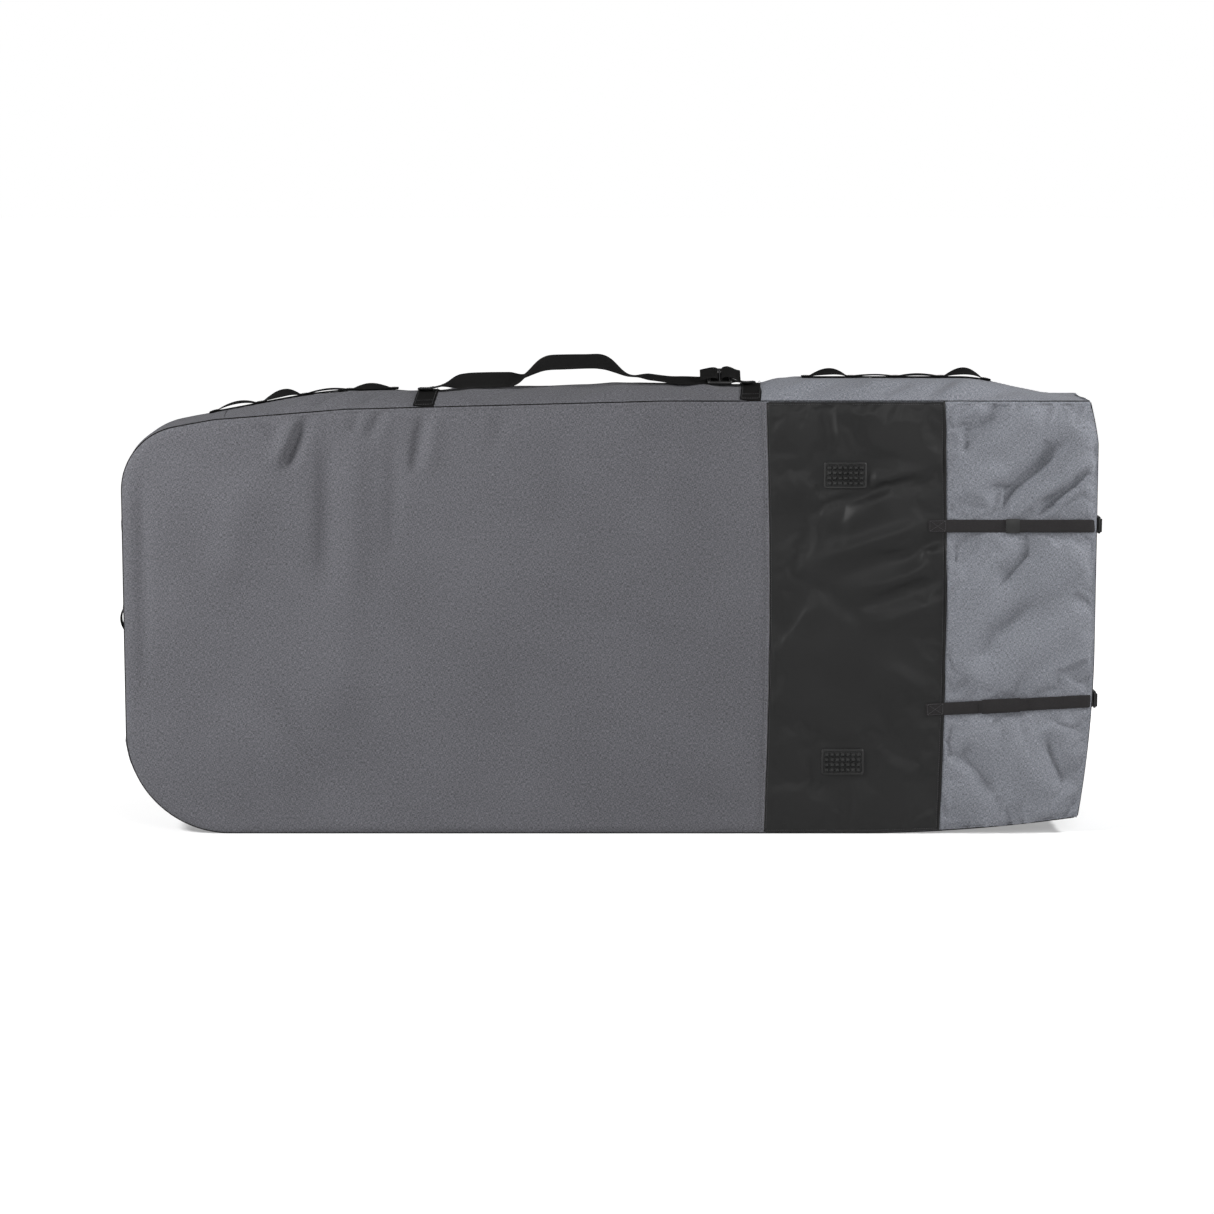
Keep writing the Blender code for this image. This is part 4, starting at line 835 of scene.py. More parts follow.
def heather(name, dark, light):
    """Two-tone polyester: long slubs both ways over a plain weave."""
    n = Nodes(name, dark, 0.9, sheen=0.03, specular=0.25)
    weft = n.noise("cloth", (220.0, 1300.0, 1.0), 2.0, 0.6)
    warp = n.noise("cloth", (1300.0, 220.0, 1.0), 2.0, 0.6)
    fleck = n.noise("cloth", (1900.0, 1900.0, 1.0), 1.0)
    mixed = n.math("ADD", n.math("MULTIPLY", n.math("ADD", weft, warp), 0.4), n.math("MULTIPLY", fleck, 0.2))
    cloud = n.noise("cloth", (5.0, 5.0, 1.0), 3.0)
    mixed = n.math("ADD", mixed, n.spread(cloud, 0.3, 0.7, -0.006, 0.006))
    stops = ((0.37, times(dark, 0.75)), (0.465, dark), (0.545, light), (0.65, times(light, 1.3)))
    n.base(n.colours(mixed, stops))
    n.rough(n.spread(fleck, 0.3, 0.7, 0.82, 0.96))
    crumple = n.noise("cloth", (60.0, 60.0, 1.0), 3.0)
    n.bumps((n.weave(1100.0), 0.35, 0.0002), (mixed, 0.15, 0.0004), (crumple, 0.08, 0.002))
    return n.material


def coated(name, colour):
    """Black coated cloth: satin skin with a fine grain, the weave printing through it."""
    n = Nodes(name, colour, 0.5, specular=0.24)
    grain = n.noise("cloth", (1500.0, 1500.0, 1.0), 2.0)
    cloud = n.noise("cloth", (9.0, 9.0, 1.0), 4.0)
    scuff = n.noise("cloth", (40.0, 260.0, 1.0), 3.0, turn=0.5)
    n.base(n.colours(cloud, ((0.3, times(colour, 0.85)), (0.55, colour), (0.75, times(colour, 1.35)))))
    n.rough(n.math("ADD", n.spread(cloud, 0.3, 0.7, 0.46, 0.56), n.spread(scuff, 0.55, 0.75, 0.0, 0.07)))
    crumple = n.noise("cloth", (45.0, 45.0, 1.0), 3.0)
    n.bumps((grain, 0.30, 0.0002), (n.weave(620.0), 0.18, 0.0002), (crumple, 0.18, 0.0015))
    return n.material


def webbing(name, colour, ribs=620.0, where="cloth"):
    """Woven webbing: ribs across and warp lines along; painted shade in the rib hollows and a painted highlight
    on the top of each rib, mixed with random fibre tone.
    """
    n = Nodes(name, colour, 0.7, specular=0.08)
    across = n.wave(where, (ribs, 1.0, 1.0), "X", 0.6)
    along = n.wave(where, (1.0, 520.0, 1.0), "Y", 0.4)
    body = n.math("ADD", n.math("MULTIPLY", across, 0.6), n.math("MULTIPLY", along, 0.4))
    fuzz = n.noise(where, (240.0, 800.0, 1.0), 3.0)
    mixed = n.math("ADD", n.math("MULTIPLY", body, 0.55), n.math("MULTIPLY", fuzz, 0.45))
    # painted shade and highlight: the colour follows the rib height, darker in the hollows and lighter on the
    # rib tops; the fuzz part is random fibre tone
    n.base(n.colours(mixed, ((0.2, times(colour, 0.6)), (0.5, colour), (0.8, times(colour, 2.1)))))
    n.rough(n.spread(mixed, 0.2, 0.8, 0.62, 0.82))
    n.bumps((body, 0.55, 0.0004), (fuzz, 0.25, 0.0003))
    return n.material


def moulded(name, colour, rough_low, rough_high, grain=900.0, depth=0.00008):
    """Moulded rubber or plastic: fine grain, cloudy gloss and faint scratches."""
    n = Nodes(name, colour, (rough_low + rough_high) / 2, specular=0.3)
    fine = n.noise("object", (grain, grain, grain), 2.0)
    cloud = n.noise("object", (40.0, 40.0, 40.0), 4.0)
    scratch = n.noise("object", (60.0, 900.0, 900.0), 3.0)
    n.base(n.colours(cloud, ((0.3, times(colour, 0.8)), (0.55, colour), (0.8, times(colour, 1.5)))))
    gloss = n.spread(cloud, 0.3, 0.7, rough_low, rough_high)
    n.rough(n.math("ADD", gloss, n.spread(scratch, 0.6, 0.8, 0.0, 0.08)))
    n.bumps((fine, 0.5, depth), (cloud, 0.1, 0.0004))
    return n.material


def steel(name, colour):
    """Brushed steel bar: long scratches along Y and a little tarnish."""
    n = Nodes(name, colour, 0.25, metallic=1.0)
    brush = n.noise("object", (2600.0, 60.0, 2600.0), 3.0)
    stain = n.noise("object", (160.0, 160.0, 160.0), 3.0)
    n.base(n.colours(stain, ((0.3, times(colour, 0.75)), (0.6, colour), (0.8, times(colour, 1.15)))))
    n.rough(n.spread(brush, 0.3, 0.7, 0.16, 0.38))
    n.bumps((brush, 0.2, 0.00005))
    return n.material


def lining(name, colour):
    """Thin coated lining with a ripstop grid."""
    n = Nodes(name, colour, 0.6)
    grid = n.math("MAXIMUM", n.wave("cloth", (200.0, 1.0, 1.0), "X"), n.wave("cloth", (1.0, 200.0, 1.0), "Y"))
    lines = n.spread(grid, 0.93, 1.0, 0.0, 1.0)
    crumple = n.noise("cloth", (26.0, 26.0, 1.0), 4.0)
    n.base(n.colours(lines, ((0.0, colour), (1.0, times(colour, 1.8)))))
    n.rough(n.spread(crumple, 0.3, 0.7, 0.5, 0.72))
    n.bumps((lines, 0.4, 0.0003), (crumple, 0.25, 0.003))
    return n.material


def foam(name, colour):
    """Closed-cell foam: small cells and a faint skin."""
    n = Nodes(name, colour, 0.95)
    place_at = n.place_on("object", (1.0, 1.0, 1.0))
    cells = n.add("TexVoronoi", {"Vector": place_at, "Scale": 700.0}).outputs["Distance"]
    stain = n.noise("object", (14.0, 14.0, 14.0), 3.0)
    n.base(n.colours(stain, ((0.3, times(colour, 0.85)), (0.7, colour))))
    n.rough(n.spread(cells, 0.0, 0.7, 0.88, 1.0))
    n.bumps((cells, 0.5, 0.0005))
    return n.material


def thread(name, colour):
    """Twisted sewing thread."""
    n = Nodes(name, colour, 0.65, specular=0.3)
    ply = n.noise("object", (1500.0, 1500.0, 1500.0), 2.0)
    n.base(n.colours(ply, ((0.35, times(colour, 0.7)), (0.65, times(colour, 1.2)))))
    n.rough(n.spread(ply, 0.3, 0.7, 0.5, 0.8))
    n.bumps((ply, 0.4, 0.0001))
    return n.material


def studio(name, colour):
    """Matt paper sweep under the bag that glows as painted light, weaker in front of the bag and stronger behind
    it.
    """
    n = Nodes(name, colour, 0.9)
    n.base(n.colours(n.noise("object", (3.0, 3.0, 3.0), 2.0), ((0.3, times(colour, 0.985)), (0.7, colour))))
    n.rough(n.spread(n.noise("object", (20.0, 20.0, 20.0), 2.0), 0.3, 0.7, 0.85, 0.95))
    n.shader.inputs["Specular IOR Level"].default_value = 0.0
    # painted light: the paper glows, from 0.26 in front to 0.95 behind, so it reads white and throws light back
    # onto the bag
    depth = n.add("SeparateXYZ", {0: n.add("TexCoord").outputs["Object"]}).outputs["Y"]
    n.shader.inputs["Emission Color"].default_value = (1.0, 1.0, 1.0, 1.0)
    n.tree.links.new(n.spread(depth, -0.4, 1.6, 0.26, 0.95), n.shader.inputs["Emission Strength"])
    return n.material


FINISHES = {}


def finish(key):
    """The material of a finish, made once from the colours in the add-on's properties."""
    if key not in FINISHES:
        c = bpy.context.scene.bag_colours
        makers = {
            "heather": lambda: heather("heather_cloth", tuple(c.heather_dark), tuple(c.heather_light)),
            "light_heather": lambda: heather("light_heather_cloth", tuple(c.tail_dark), tuple(c.tail_light)),
            "coated": lambda: coated("coated_cloth", tuple(c.coated)),
            "piping": lambda: coated("piping_cloth", times(tuple(c.coated), 0.7)),
            "hem": lambda: heather("hem_tape_cloth", tuple(c.heather_dark), times(c.heather_light, 1.2)),
            "webbing": lambda: webbing("black_webbing", tuple(c.webbing)),
            "strap": lambda: webbing("strap_webbing", tuple(c.strap)),
            "rubber": lambda: moulded("moulded_rubber", tuple(c.rubber), 0.42, 0.58, 1400.0, 0.00006),
            "plastic": lambda: moulded("moulded_plastic", tuple(c.plastic), 0.30, 0.42),
            "steel": lambda: steel("brushed_bar", tuple(c.steel)),
            "lining": lambda: lining("lining_cloth", tuple(c.lining)),
            "foam": lambda: foam("foam_sheet", tuple(c.foam)),
            "tape": lambda: webbing("zip_tape", tuple(c.zip), 900.0),
            "coil": lambda: moulded("zip_coil", tuple(c.zip), 0.28, 0.40),
            "dark_thread": lambda: thread("dark_thread", tuple(c.dark_thread)),
            "grey_thread": lambda: thread("grey_thread", tuple(c.grey_thread)),
            "paper": lambda: studio("glowing_paper_sweep", tuple(c.paper)),
        }
        FINISHES[key] = makers[key]()
    return FINISHES[key]


# --------------------------------------------------------------------------------- properties
class BAG_PG_sizes(bpy.types.PropertyGroup):
    """Sizes of the cloth, padding, lining, gussets, mesh, thread and stitches, and the tail's slack."""
    cloth: FloatProperty(name="Cloth", description="Thickness of the cloth", default=0.0015, unit="LENGTH")
    foam: FloatProperty(name="Foam", description="Thickness of the padding", default=0.006, unit="LENGTH")
    lining: FloatProperty(name="Lining", description="Thickness of the lining", default=0.001, unit="LENGTH")
    gusset: FloatProperty(name="Gusset", description="Thickness of the gussets", default=0.004, unit="LENGTH")
    mesh_step: FloatProperty(name="Mesh step", description="Spacing of points on cloth", default=0.005,
                             unit="LENGTH")
    thread: FloatProperty(name="Thread", description="Radius of the sewing thread", default=0.00042,
                          unit="LENGTH", precision=5)
    pitch: FloatProperty(name="Stitch", description="Length of one stitch", default=0.0042, unit="LENGTH",
                         precision=4)
    slack: FloatProperty(name="Slack", description="Spare cloth of the tail section, as a share", default=0.035,
                         subtype="FACTOR")


def colour(name, description, default):
    """A colour among the add-on's properties."""
    return FloatVectorProperty(name=name, description=description, default=default, subtype="COLOR")


class BAG_PG_colours(bpy.types.PropertyGroup):
    """Colours of the finishes."""
    heather_dark: colour("Heather, dark yarn", "Dark yarn of the main cloth", (0.046, 0.046, 0.051))
    heather_light: colour("Heather, light yarn", "Light yarn of the main cloth", (0.108, 0.108, 0.120))
    tail_dark: colour("Tail, dark yarn", "Dark yarn of the tail section", (0.092, 0.096, 0.108))
    tail_light: colour("Tail, light yarn", "Light yarn of the tail section", (0.190, 0.198, 0.222))
    coated: colour("Coated cloth", "Coated cloth of the wear panel", (0.0065, 0.0065, 0.0066))
    webbing: colour("Webbing", "Handle, bands and lash loops", (0.0050, 0.0049, 0.0049))
    strap: colour("Strap", "Compression straps", (0.016, 0.015, 0.0155))
    rubber: colour("Rubber", "Skid pads", (0.012, 0.012, 0.012))
    plastic: colour("Plastic", "Buckles and zip sliders", (0.014, 0.014, 0.014))
    steel: colour("Steel", "Bar of the strap adjuster", (0.55, 0.55, 0.57))
    lining: colour("Lining", "Inner lining", (0.035, 0.035, 0.038))
    foam: colour("Foam", "Padding", (0.60, 0.60, 0.57))
    zip: colour("Zip", "Zip tape and coil", (0.012, 0.012, 0.013))
    dark_thread: colour("Dark thread", "Thread on black pieces", (0.045, 0.044, 0.046))
    grey_thread: colour("Grey thread", "Thread on heather cloth", (0.085, 0.085, 0.092))
    paper: colour("Paper", "Sweep under the bag", (0.62, 0.62, 0.62))


def sizes():
    """The add-on's sizes."""
    return bpy.context.scene.bag_sizes


def columns(x0, x1, step, round_from=None):
    """Places along the bag, a step apart; a rounded nose end gets places that crowd together."""
    if round_from is None:
        return np.linspace(x0, x1, max(2, int(round((x1 - x0) / step)) + 1))
    turn = np.linspace(0.0, np.pi / 2, 30)
    nose = x0 + round_from * (1.0 - np.cos(turn))
    rest = np.linspace(nose[-1], x1, int(round((x1 - nose[-1]) / step)) + 1)
    return np.concatenate([nose, rest[1:]])


def rows(count):
    """Shares of a height from 0 to 1 that crowd a little at both ends."""
    t = np.linspace(0.0, 1.0, count)
    return 0.55 * t + 0.45 * (0.5 - 0.5 * np.cos(np.pi * t))


def inset_top(x, margin):
    """Top seam drawn in by a margin."""
    arc = TOP_ARC_Z + np.sqrt(np.maximum((NOSE_TOP_RADIUS - margin) ** 2 - (x - TOP_ARC_X) ** 2, 0.0))
    return np.where(x < TOP_ARC_END, arc, np.interp(x, SEAM[:, 0], SEAM[:, 1]) - margin * np.where(
        x < NOSE_X + NOSE_SHOULDER, LEAN, 1.0))


def inset_low(x, margin):
    """Lower edge drawn in by a margin."""
    reach = NOSE_X + NOSE_LOW_RADIUS - x
    arc = NOSE_LOW_RADIUS - np.sqrt(np.maximum((NOSE_LOW_RADIUS - margin) ** 2 - reach ** 2, 0.0))
    return np.where(reach > 0.0, arc, low_z(x) + margin)


def face_grid(xs, count, margin=0.0):
    """Grid of (x, z) over a broad face: each column runs from the lower edge to the top seam."""
    low, high = inset_low(xs, margin), inset_top(xs, margin)
    v = rows(count)
    x = np.repeat(xs[:, None], count, axis=1)
    return x, low[:, None] + (high - low)[:, None] * v[None, :]


def tail_grid(x0, step, count, margin=None):
    """Grid of (x, z) from a cut to the leaning end panel."""
    u = np.linspace(0.0, 1.0, int(round((TAIL_X - x0) / step)) + 1)
    x = np.repeat((x0 + u * (TAIL_X - x0))[:, None], count, axis=1)
    trim = 0.0 if margin is None else margin(x[:, 0])
    for _ in range(3):
        low, high = low_z(x[:, :1])[:, 0] + trim, top_z(x[:, -1:])[:, 0] - trim
        z = low[:, None] + (high - low)[:, None] * rows(count)[None, :]
        x = x0 + u[:, None] * (tail_x(z) - x0)
    return x, z


def held_rim(like, under):
    """Weights that hold a cloth grid at its rim and wherever something presses on it."""
    held = np.clip(under, 0.0, 1.0)
    near = np.zeros(like.shape)
    near[:2] = near[-2:] = 1.0
    near[:, :2] = near[:, -2:] = 1.0
    return np.maximum(held, near)


def layered(name, x, z, surface, near, thick, key, flat=(0, 2)):
    """A layer of cloth or foam under a broad face: near is its depth below the outside."""
    outer, inner = surface(x, z, -near), surface(x, z, -near - thick)
    return sheet(name, outer, inner, finish(key), list(flat))


# ----------------------------------------------------------------------------------- operators
class BAG_OT_front(bpy.types.Operator):
    """Main front panel: dark heather cloth over foam and lining"""
    bl_idname = "bag.front"
    bl_label = "Front panel"

    def execute(self, context):
        s = sizes()
        x, z = face_grid(columns(NOSE_X, WEAR_X0 - 0.0003, s.mesh_step, NOSE_LOW_RADIUS), 165)
        cloth = layered("front_panel_cloth", x, z, front_point, 0.0, s.cloth, "heather")
        place(cloth, "main_shell", ("front_panel",))
        margin = s.gusset + 0.0025
        x, z = face_grid(columns(NOSE_X + margin, WEAR_X1, 0.006, NOSE_LOW_RADIUS), 140, margin)
        outer = front_point(x, z, -s.cloth - 0.0008)
        inner = front_inside(x, z, s.cloth + s.foam + 0.0003)
        pad = sheet("front_foam", outer, inner, finish("foam"), [0, 2])
        place(pad, "main_shell", ("front_foam_pad",))
        x, z = face_grid(columns(NOSE_X + margin, SLEEVE_X0 - 0.0003, 0.010, NOSE_LOW_RADIUS), 80, margin)
        outer = front_inside(x, z, s.cloth + s.foam + 0.0007)
        inside = sheet("front_lining_cloth", outer, outer + np.array((0.0, s.lining, 0.0)), finish("lining"),
                       [0, 2])
        place(inside, "main_shell", ("front_lining",))
        return {"FINISHED"}


class BAG_OT_wear(bpy.types.Operator):
    """Coated wear panel with its hem tape, piping and the seams beside them"""
    bl_idname = "bag.wear"
    bl_label = "Wear panel"

    def execute(self, context):
        s = sizes()
        x, z = face_grid(columns(WEAR_X0 + 0.0003, WEAR_X1 - 0.0003, 0.004), 190)
        outer = front_point(x, z)
        under = sum(smooth(1.0 - away_from(low, high, x, z) / 0.02) for low, high in PADS.values())
        under = under + sum(smooth((x - STRAPS[n][0].x + 0.01) / 0.01) * np.exp(
            -((z - strap_middle(n, x)) / 0.018) ** 4) for n in STRAPS)
        rest = settle("wear_cloth_rest", outer, held_rim(z, under), s.slack * 0.4, -0.8)
        rest[..., 1] = np.clip(rest[..., 1], outer[..., 1] - 0.005, outer[..., 1] + 0.0003)
        outer = rest
        cloth = sheet("wear_panel_cloth", outer, outer + np.array((0.0, s.cloth, 0.0)), finish("coated"), [0, 2])
        place(cloth, "main_shell", ("wear_panel",))
        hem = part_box("wear_panel_hem_tape")
        middle, width = (hem[0].x + hem[1].x) / 2, hem[1].x - hem[0].x
        heights = np.linspace(hem[0].z, hem[1].z, 150)
        path = front_point(np.full(150, middle) + 0.0006 * ripple(heights, 0.11, 51), heights, 0.0004)
        tape = strap("wear_panel_hem", path, (1.0, 0.0, 0.0), width, 0.0012, finish("hem"))
        place(tape, "main_shell", ("wear_panel_hem_tape",))
        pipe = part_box("wear_panel_piping")
        heights = np.linspace(pipe[0].z, pipe[1].z, 220)
        at = WEAR_X1 - 0.0004 + 0.0008 * ripple(heights, 0.16, 52)
        bead = round_bar("wear_panel_bead", front_point(at, heights, 0.0004), 0.0019, finish("piping"), 12)
        place(bead, "main_shell", ("wear_panel_piping",))
        lines = [(front_point(np.full(200, WEAR_X1 - 0.0052), np.linspace(0.012, 0.792, 200), 0.0), FRONT)]
        lines += [(front_point(np.full(200, WEAR_X0 + 0.0032), np.linspace(0.010, 0.792, 200), 0.0), FRONT)]
        seams = stitches("wear_panel_stitches", lines, finish("dark_thread"), s.pitch, s.thread)
        place(seams, "main_shell")
        line = [(front_point(np.full(200, middle - 0.0022), np.linspace(0.010, 0.792, 200), 0.0011), FRONT)]
        seams = stitches("hem_stitches", line, finish("grey_thread"), s.pitch, s.thread)
        place(seams, "main_shell")
        return {"FINISHED"}


class BAG_OT_tail(bpy.types.Operator):
    """Unpadded tail section: front cloth, back cloth and the leaning end panel"""
    bl_idname = "bag.tail"
    bl_label = "Tail section"

    def execute(self, context):
        s = sizes()
        x, z = tail_grid(WEAR_X1 + 0.0003, 0.0042, 200)
        outer = front_point(x, z)
        under = sum(np.exp(-((z - strap_middle(n, x)) / 0.018) ** 4) for n in STRAPS)
        outer = settle("tail_cloth_rest", outer, held_rim(z, under), s.slack, -2.0)
        out = np.maximum(-FACE_Y - outer[..., 1], 0.0)
        outer[..., 1] = np.where(out > 0.0, -FACE_Y - PROUD * np.tanh(out / PROUD), outer[..., 1])
        deepest = -(FACE_Y - 0.0062) + 0.03 * smooth((outer[..., 0] - SLEEVE_X0) / 0.01)
        outer[..., 1] = np.minimum(outer[..., 1], deepest)
        cloth = sheet("tail_front_cloth", outer, outer + np.array((0.0, s.cloth, 0.0)), finish("light_heather"),
                      [0, 2])
        place(cloth, "main_shell", ("extension_front", "extension_sleeve"), TO_TAIL)

        def trim(at):
            zip_side = smooth((SLEEVE_X0 + 0.012 - at) / 0.020)
            return LID_MARGIN[1] * zip_side

        x, z = tail_grid(HINGE_X + 0.004, 0.0050, 150, trim)
        back = layered("tail_back_cloth", x, z, rear_point, 0.0, s.cloth, "light_heather")
        place(back, "main_shell", ("rear_fixed_panel",), TO_TAIL)

        foot = float(low_z(TAIL_X - TAIL_LOW_CUT))
        z = foot + (TOP_Z - foot) * rows(150)[:, None]
        v = np.linspace(-1.0, 1.0, 44)[None, :]
        y = v * (FACE_Y - EDGE_DROP + 0.0016)
        pucker = 0.0020 * np.exp(-(1 - np.abs(v)) * 4.0) * ripple(z, 0.07, 62)
        soft = 0.0022 * drift(y * 2.0, z, 0.16, 61) + pucker
        soft = (soft - 0.0020) * smooth((1.0 - np.abs(v)) / 0.12)
        for name in STRAPS:
            level = float(strap_middle(name, TAIL_X))
            soft = soft * (1.0 - np.exp(-((z - level) / 0.024) ** 2) * (v < 0.35))
        grid = xyz(tail_x(z) + soft, y, z)
        inner = grid - np.array((s.cloth, 0.0, 0.0))
        end = sheet("tail_end_cloth", grid, inner, finish("light_heather"), [1, 2])
        place(end, "tail_end", ("tail_end_panel",))
        heights = np.linspace(foot + 0.004, TOP_Z - 0.003, 190)
        for side, name in ((-1.0, "front"), (1.0, "back")):
            path = xyz(tail_x(heights) + 0.0002, side * (FACE_Y - EDGE_DROP + 0.0012), heights)
            bead = round_bar("tail_edge_binding_" + name, path, 0.0016, finish("webbing"), 10)
            place(bead, "tail_end")
        return {"FINISHED"}


def nose_path(step):
    """Outline points and outward directions round the nose, from the top seam to the floor."""
    x = np.linspace(GUSSET_TOP_X, TOP_ARC_END, 12)[:-1]
    lean = math.atan(NOSE_SLOPE)
    parts = [np.stack([x, top_z(x)], axis=-1)]
    outs = [np.tile((-math.sin(lean), math.cos(lean)), (len(x), 1))]
    for centre, radius, first, last in (((TOP_ARC_X, TOP_ARC_Z), NOSE_TOP_RADIUS, np.pi / 2 + lean, np.pi),
                                        ((NOSE_X + NOSE_LOW_RADIUS, NOSE_LOW_RADIUS), NOSE_LOW_RADIUS,
                                         np.pi, 1.5 * np.pi)):
        turn = np.linspace(first, last, 60)
        out = np.stack([np.cos(turn), np.sin(turn)], axis=-1)
        parts.append(np.array(centre) + radius * out)
        outs.append(out)
    floor = np.linspace(NOSE_X + NOSE_LOW_RADIUS, GUSSET_LOW_X, 4)[1:]
    parts.append(np.stack([floor, np.zeros(3)], axis=-1))
    outs.append(np.tile((0.0, -1.0), (3, 1)))
    both = np.concatenate([np.concatenate(parts), np.concatenate(outs)], axis=1)
    run = np.r_[0.0, np.cumsum(np.hypot(*np.diff(both[:, :2], axis=0).T))]
    at = np.linspace(0.0, run[-1], int(run[-1] / step))
    found = np.stack([np.interp(at, run, both[:, i]) for i in range(4)], axis=-1)
    return found[:, :2], unit(found[:, 2:]), at


def ring_path(x_end, step):
    """Outline of a broad face and its inward directions: tail along the top, round the nose, back low."""
    nose, out, _ = nose_path(step)
    top = np.linspace(x_end, GUSSET_TOP_X, int((x_end - GUSSET_TOP_X) / step))[:-1]
    low = np.linspace(GUSSET_LOW_X, x_end, int((x_end - GUSSET_LOW_X) / step))[1:]
    points = np.concatenate([np.stack([top, top_z(top)], axis=-1), nose, np.stack([low, low_z(low)], axis=-1)])
    tangent = unit(np.gradient(points, axis=0))
    return points, np.stack([-tangent[:, 1], tangent[:, 0]], axis=-1)


def rear_band(name, x_end, near, far, out, thick, key):
    """A flat strip on the back face that follows the outline, between two insets from it."""
    points, inward = ring_path(x_end, 0.006)
    steps = np.linspace(near, far, 5)
    flat = points[:, None] + inward[:, None] * steps[None, :, None]
    flat[:, :, 0] = np.minimum(flat[:, :, 0], x_end)
    outer = rear_point(flat[..., 0], flat[..., 1], out)
    return sheet(name, outer, outer - np.array((0.0, thick, 0.0)), finish(key))


class BAG_OT_gussets(bpy.types.Operator):
    """Top, nose and bottom gussets between the two broad faces"""
    bl_idname = "bag.gussets"
    bl_label = "Gussets"

    def execute(self, context):
        s = sizes()
        v = np.linspace(-1.0, 1.0, 61)[None, :]
        down = np.array((0.0, 0.0, -s.gusset))

        x = np.linspace(GUSSET_TOP_X + 0.0003, BAND_TAIL_X - 0.0003, 290)[:, None]
        outer = gusset_point(x, v)
        main = sheet("top_gusset_cloth", outer, outer + down, finish("heather"), [0, 1])
        place(main, "main_shell", ("top_gusset_main",))

        last = float(tail_x(TOP_Z))
        x = np.linspace(BAND_TAIL_X + 0.0003, last, 210)[:, None]
        outer = gusset_point(x, v)
        outer[..., 2] -= 0.0025 * smooth((outer[..., 0] - last + 0.02) / 0.02) * (1.0 - v * v)
        tail = sheet("top_gusset_tail_cloth", outer, outer + down, finish("light_heather"), [0, 1])
        place(tail, "main_shell", ("top_gusset_tail",), TO_TAIL)

        path, out, run = nose_path(0.006)
        foot = smooth((run[-1] - run) / 0.16)[:, None]
        start = smooth(run / 0.06)[:, None]
        bulge = crown(path[:, :1]) * (1.0 - v * v) * foot
        seam = np.exp(-(1.0 - np.abs(v)) * SHELL_Y / 0.020)
        pucker = 0.0016 * seam * ripple(run[:, None], 0.05, 72)
        soft = 0.0016 * drift(run[:, None], v * SHELL_Y, 0.13, 71) + pucker
        soft = (soft * foot - 0.0004) * smooth((1.0 - np.abs(v)) / 0.08)
        clear = smooth(1.0 - (np.abs(v * SHELL_Y) - CHAIN_HALF) / 0.014) * (start < 1.0)
        soft = soft * start + (1.0 - start) * gusset_relief(path[:, :1], v) - SEAM_DIP * start * smooth(
            (np.abs(v) - 0.93) / 0.07)
        soft = np.where(clear * (soft > 0), soft * (1.0 - clear), soft)
        lift = (bulge + soft)[..., None] * xyz(out[:, 0], 0.0, out[:, 1])[:, None]
        base = xyz(path[:, :1], v * (SHELL_Y - 0.002), path[:, 1:])
        outer = base + lift
        outer[..., 2] = np.maximum(outer[..., 2], 0.0)
        inner = outer - s.gusset * xyz(out[:, 0], 0.0, out[:, 1])[:, None]
        nose = sheet("nose_gusset_cloth", outer, inner, finish("heather"))
        place(nose, "main_shell", ("nose_gusset",))

        x = np.linspace(GUSSET_LOW_X + 0.0003, float(TAIL_X - TAIL_LOW_CUT), 260)[:, None]
        rise = 0.0009 * (1.0 + drift(x, v * SHELL_Y, 0.14, 73)) * smooth((1.0 - np.abs(v)) / 0.2)
        rise = rise + SEAM_DIP * smooth((np.abs(v) - 0.93) / 0.07)
        z = np.maximum(low_z(x) + rise, 0.0)
        outer = xyz(x, v * (SHELL_Y - 0.002), z)
        low = sheet("bottom_gusset_cloth", outer, outer - down, finish("heather"), [0, 1])
        place(low, "main_shell", ("bottom_gusset",), TO_TAIL)
        return {"FINISHED"}


class BAG_OT_lid(bpy.types.Operator):
    """Back lid: cloth, padding and lining"""
    bl_idname = "bag.lid"
    bl_label = "Lid"

    def execute(self, context):
        s = sizes()
        hinge = ("main_shell", (HINGE_X - 0.008, 0.0, 0.0), (HINGE_X + 0.004, 0.0, 0.0))
        margin = LID_MARGIN[2] + 0.0003
        places = columns(NOSE_X + margin, HINGE_X + 0.0036, 0.008, NOSE_LOW_RADIUS - margin)
        x, z = face_grid(places, 110, margin)
        cloth = layered("lid_cloth", x, z, rear_point, 0.0, s.cloth, "heather")
        place(cloth, "lid", ("lid_panel",), hinge)
        margin = LID_MARGIN[1]
        places = columns(NOSE_X + margin, HINGE_X - 0.009, 0.012, NOSE_LOW_RADIUS - margin)
        x, z = face_grid(places, 70, margin)
        pad = layered("lid_foam", x, z, rear_point, s.cloth + 0.0003, s.foam, "foam")
        place(pad, "lid", ("lid_foam_pad",))
        inside = layered("lid_lining_cloth", x, z, rear_point, s.cloth + s.foam + 0.0006, s.lining, "lining")
        place(inside, "lid", ("lid_lining",))
        return {"FINISHED"}


EYE_HALF = 0.0046                 # half length of the eye of a zip pull
GRIP_FROM = 0.0082                # where its grip starts


